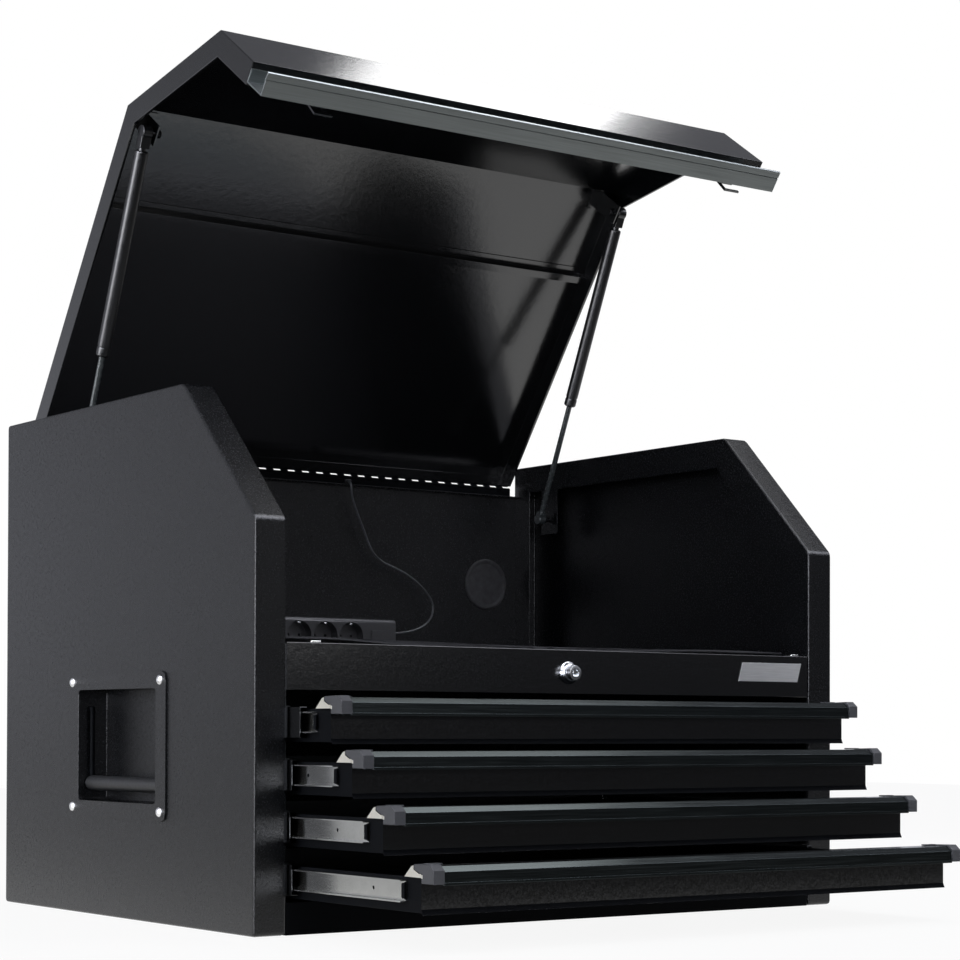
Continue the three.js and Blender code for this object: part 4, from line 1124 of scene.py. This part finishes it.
class CHEST_OT_stage(bpy.types.Operator):
    """Sets the pale floor, the white studio and its soft lights."""

    bl_idname = "chest.stage"
    bl_label = "Studio"

    def execute(self, context):
        self.floor()
        self.studio(context.scene)
        for name, place, target, width, height, power in (
            ("key_softbox", (-2.9, 0.1, 0.5), (0, 0, 0.3), 1.6, 0.9, 24),
            ("flange_softbox", (0.9, -2.56, 0.7), (-0.43, -0.33, 0.45), 0.3, 0.3, 1.1),
            ("overhead_softbox", (1.4, -0.68, 2.9), (0, -0.3, 0.5), 1.6, 0.85, 12),
            ("lid_softbox", (0.745, 0.5, 1.95), (0.0, -0.27, 1.0), 0.4, 0.6, 2.9),
            ("lid_near_softbox", (0.995, 0.5, 1.95), (0.1, -0.27, 1.0), 0.1, 0.6, 0.31),
            ("lid_far_softbox", (1.095, 0.5, 1.95), (0.2, -0.27, 1.0), 0.1, 0.6, 0.11),
        ):
            bpy.ops.object.light_add(type="AREA", location=place)
            light = context.active_object
            light.name = name
            light.data.shape = "RECTANGLE"
            light.data.size, light.data.size_y = width, height
            light.data.energy = power
            light.rotation_mode = "QUATERNION"
            light.rotation_quaternion = (Vector(target) - Vector(place)).to_track_quat("-Z", "Y")
            light.visible_camera = False
        context.scene.view_settings.view_transform = "Standard"
        return {"FINISHED"}

    def floor(self):
        bpy.ops.mesh.primitive_plane_add(size=1, location=(0, 0, 0))
        floor = bpy.context.active_object
        floor.name = "studio_floor"
        floor.scale = (FLOOR_SIZE, FLOOR_SIZE, 1)
        apply_place(floor)
        material, tree = new_material("white_paper_floor")
        paper = add_node(tree, "ShaderNodeBsdfDiffuse", {"Color": rgba(linear("#f4f4f4"))})
        apart = add_node(tree, "ShaderNodeSeparateXYZ", {"Vector": object_place(tree)})
        # Painted shade: in reflections the paper darkens in front of the chest and at its left,
        # where the chest would shade it
        near = calculate(
            tree, "MULTIPLY", ramp(tree, apart.outputs["Y"], -1.05, -0.78, 0.06, 1.0),
            ramp(tree, apart.outputs["X"], -0.9, -0.5, 0.4, 1.0))
        path = add_node(tree, "ShaderNodeLightPath")
        sent_on = add_node(tree, "ShaderNodeMath", {
            0: path.outputs["Is Glossy Ray"], 1: path.outputs["Is Transmission Ray"]},
            operation="MAXIMUM")
        level = add_node(tree, "ShaderNodeMix", {
            "Factor": sent_on.outputs["Value"], "A": FLOOR_GLOW, "B": near})
        white = add_node(tree, "ShaderNodeEmission", {
            "Color": (1, 1, 1, 1), "Strength": level.outputs["Result"]})
        share = add_node(tree, "ShaderNodeMath", {
            0: path.outputs["Is Camera Ray"], 1: FLOOR_GLOW_SHARE, 2: sent_on.outputs["Value"]},
            operation="MULTIPLY_ADD")
        mix = add_node(tree, "ShaderNodeMixShader", {
            "Fac": share.outputs["Value"], 1: paper.outputs["BSDF"], 2: white.outputs["Emission"]})
        add_node(tree, "ShaderNodeOutputMaterial", {"Surface": mix.outputs["Shader"]})
        floor.data.materials.append(material)

    def studio(self, scene):
        """A white wall behind the chest, and a dim room above and in front of it, with bright
        areas painted into reflections only.
        """
        world = bpy.data.worlds.new("studio_world")
        world.use_nodes = True
        tree = world.node_tree
        tree.nodes.clear()
        direction = add_node(tree, "ShaderNodeTexCoord").outputs["Generated"]
        parts = add_node(tree, "ShaderNodeSeparateXYZ", {"Vector": direction})
        level = 0.06
        for area in PAINTED_REFLECTIONS:
            ramps = [ramp(tree, parts.outputs[axis], *span) for axis, *span in area]
            level = calculate(tree, "ADD", calculate(tree, "MULTIPLY", *ramps), level)
        # Reflections see the painted bright areas, the other rays see the dim room, and the camera
        # sees white
        path = add_node(tree, "ShaderNodeLightPath")
        lit = add_node(tree, "ShaderNodeMix", {
            "Factor": path.outputs["Is Glossy Ray"], "A": ROOM_LIGHT, "B": level})
        strength = add_node(tree, "ShaderNodeMix", {
            "Factor": path.outputs["Is Camera Ray"], "A": lit.outputs["Result"], "B": 1.0})
        tint = add_node(tree, "ShaderNodeMix", {
            "Factor": path.outputs["Is Camera Ray"], "A": ROOM_TINT, "B": (1, 1, 1, 1)},
            data_type="RGBA")
        light = add_node(tree, "ShaderNodeBackground", {
            "Color": tint.outputs["Result"], "Strength": strength.outputs["Result"]})
        add_node(tree, "ShaderNodeOutputWorld", {"Surface": light.outputs["Background"]})
        scene.world = world


class CHEST_PT_sidebar(bpy.types.Panel):
    """Lists the chest's pieces in the 3D view's sidebar."""

    bl_idname = "CHEST_PT_sidebar"
    bl_label = "Tool Chest"
    bl_space_type = "VIEW_3D"
    bl_region_type = "UI"
    bl_category = "Tool Chest"

    def draw(self, context):
        layout = self.layout
        for step in BUILD_STEPS:
            layout.operator(step.bl_idname)
        for group in (context.scene.chest_finishes, context.scene.chest_sizes):
            box = layout.box()
            for name in group.__annotations__:
                box.prop(group, name)


BUILD_STEPS = (
    CHEST_OT_camera,
    CHEST_OT_lead,
    CHEST_OT_cabinet,
    CHEST_OT_lid,
    CHEST_OT_struts,
    CHEST_OT_drawers,
    CHEST_OT_slides,
    CHEST_OT_handles,
    CHEST_OT_lock,
    CHEST_OT_power_strip,
    CHEST_OT_soft_fittings,
    CHEST_OT_plates,
    CHEST_OT_stage,
)
CLASSES = (ChestFinishes, ChestSizes, *BUILD_STEPS, CHEST_PT_sidebar)


def register():
    for cls in CLASSES:
        bpy.utils.register_class(cls)
    bpy.types.Scene.chest_finishes = bpy.props.PointerProperty(type=ChestFinishes)
    bpy.types.Scene.chest_sizes = bpy.props.PointerProperty(type=ChestSizes)


def unregister():
    del bpy.types.Scene.chest_sizes
    del bpy.types.Scene.chest_finishes
    for cls in reversed(CLASSES):
        bpy.utils.unregister_class(cls)


def main():
    register()
    for step in BUILD_STEPS:
        group, name = step.bl_idname.split(".")
        getattr(getattr(bpy.ops, group), name)()


if __name__ == "__main__":
    main()
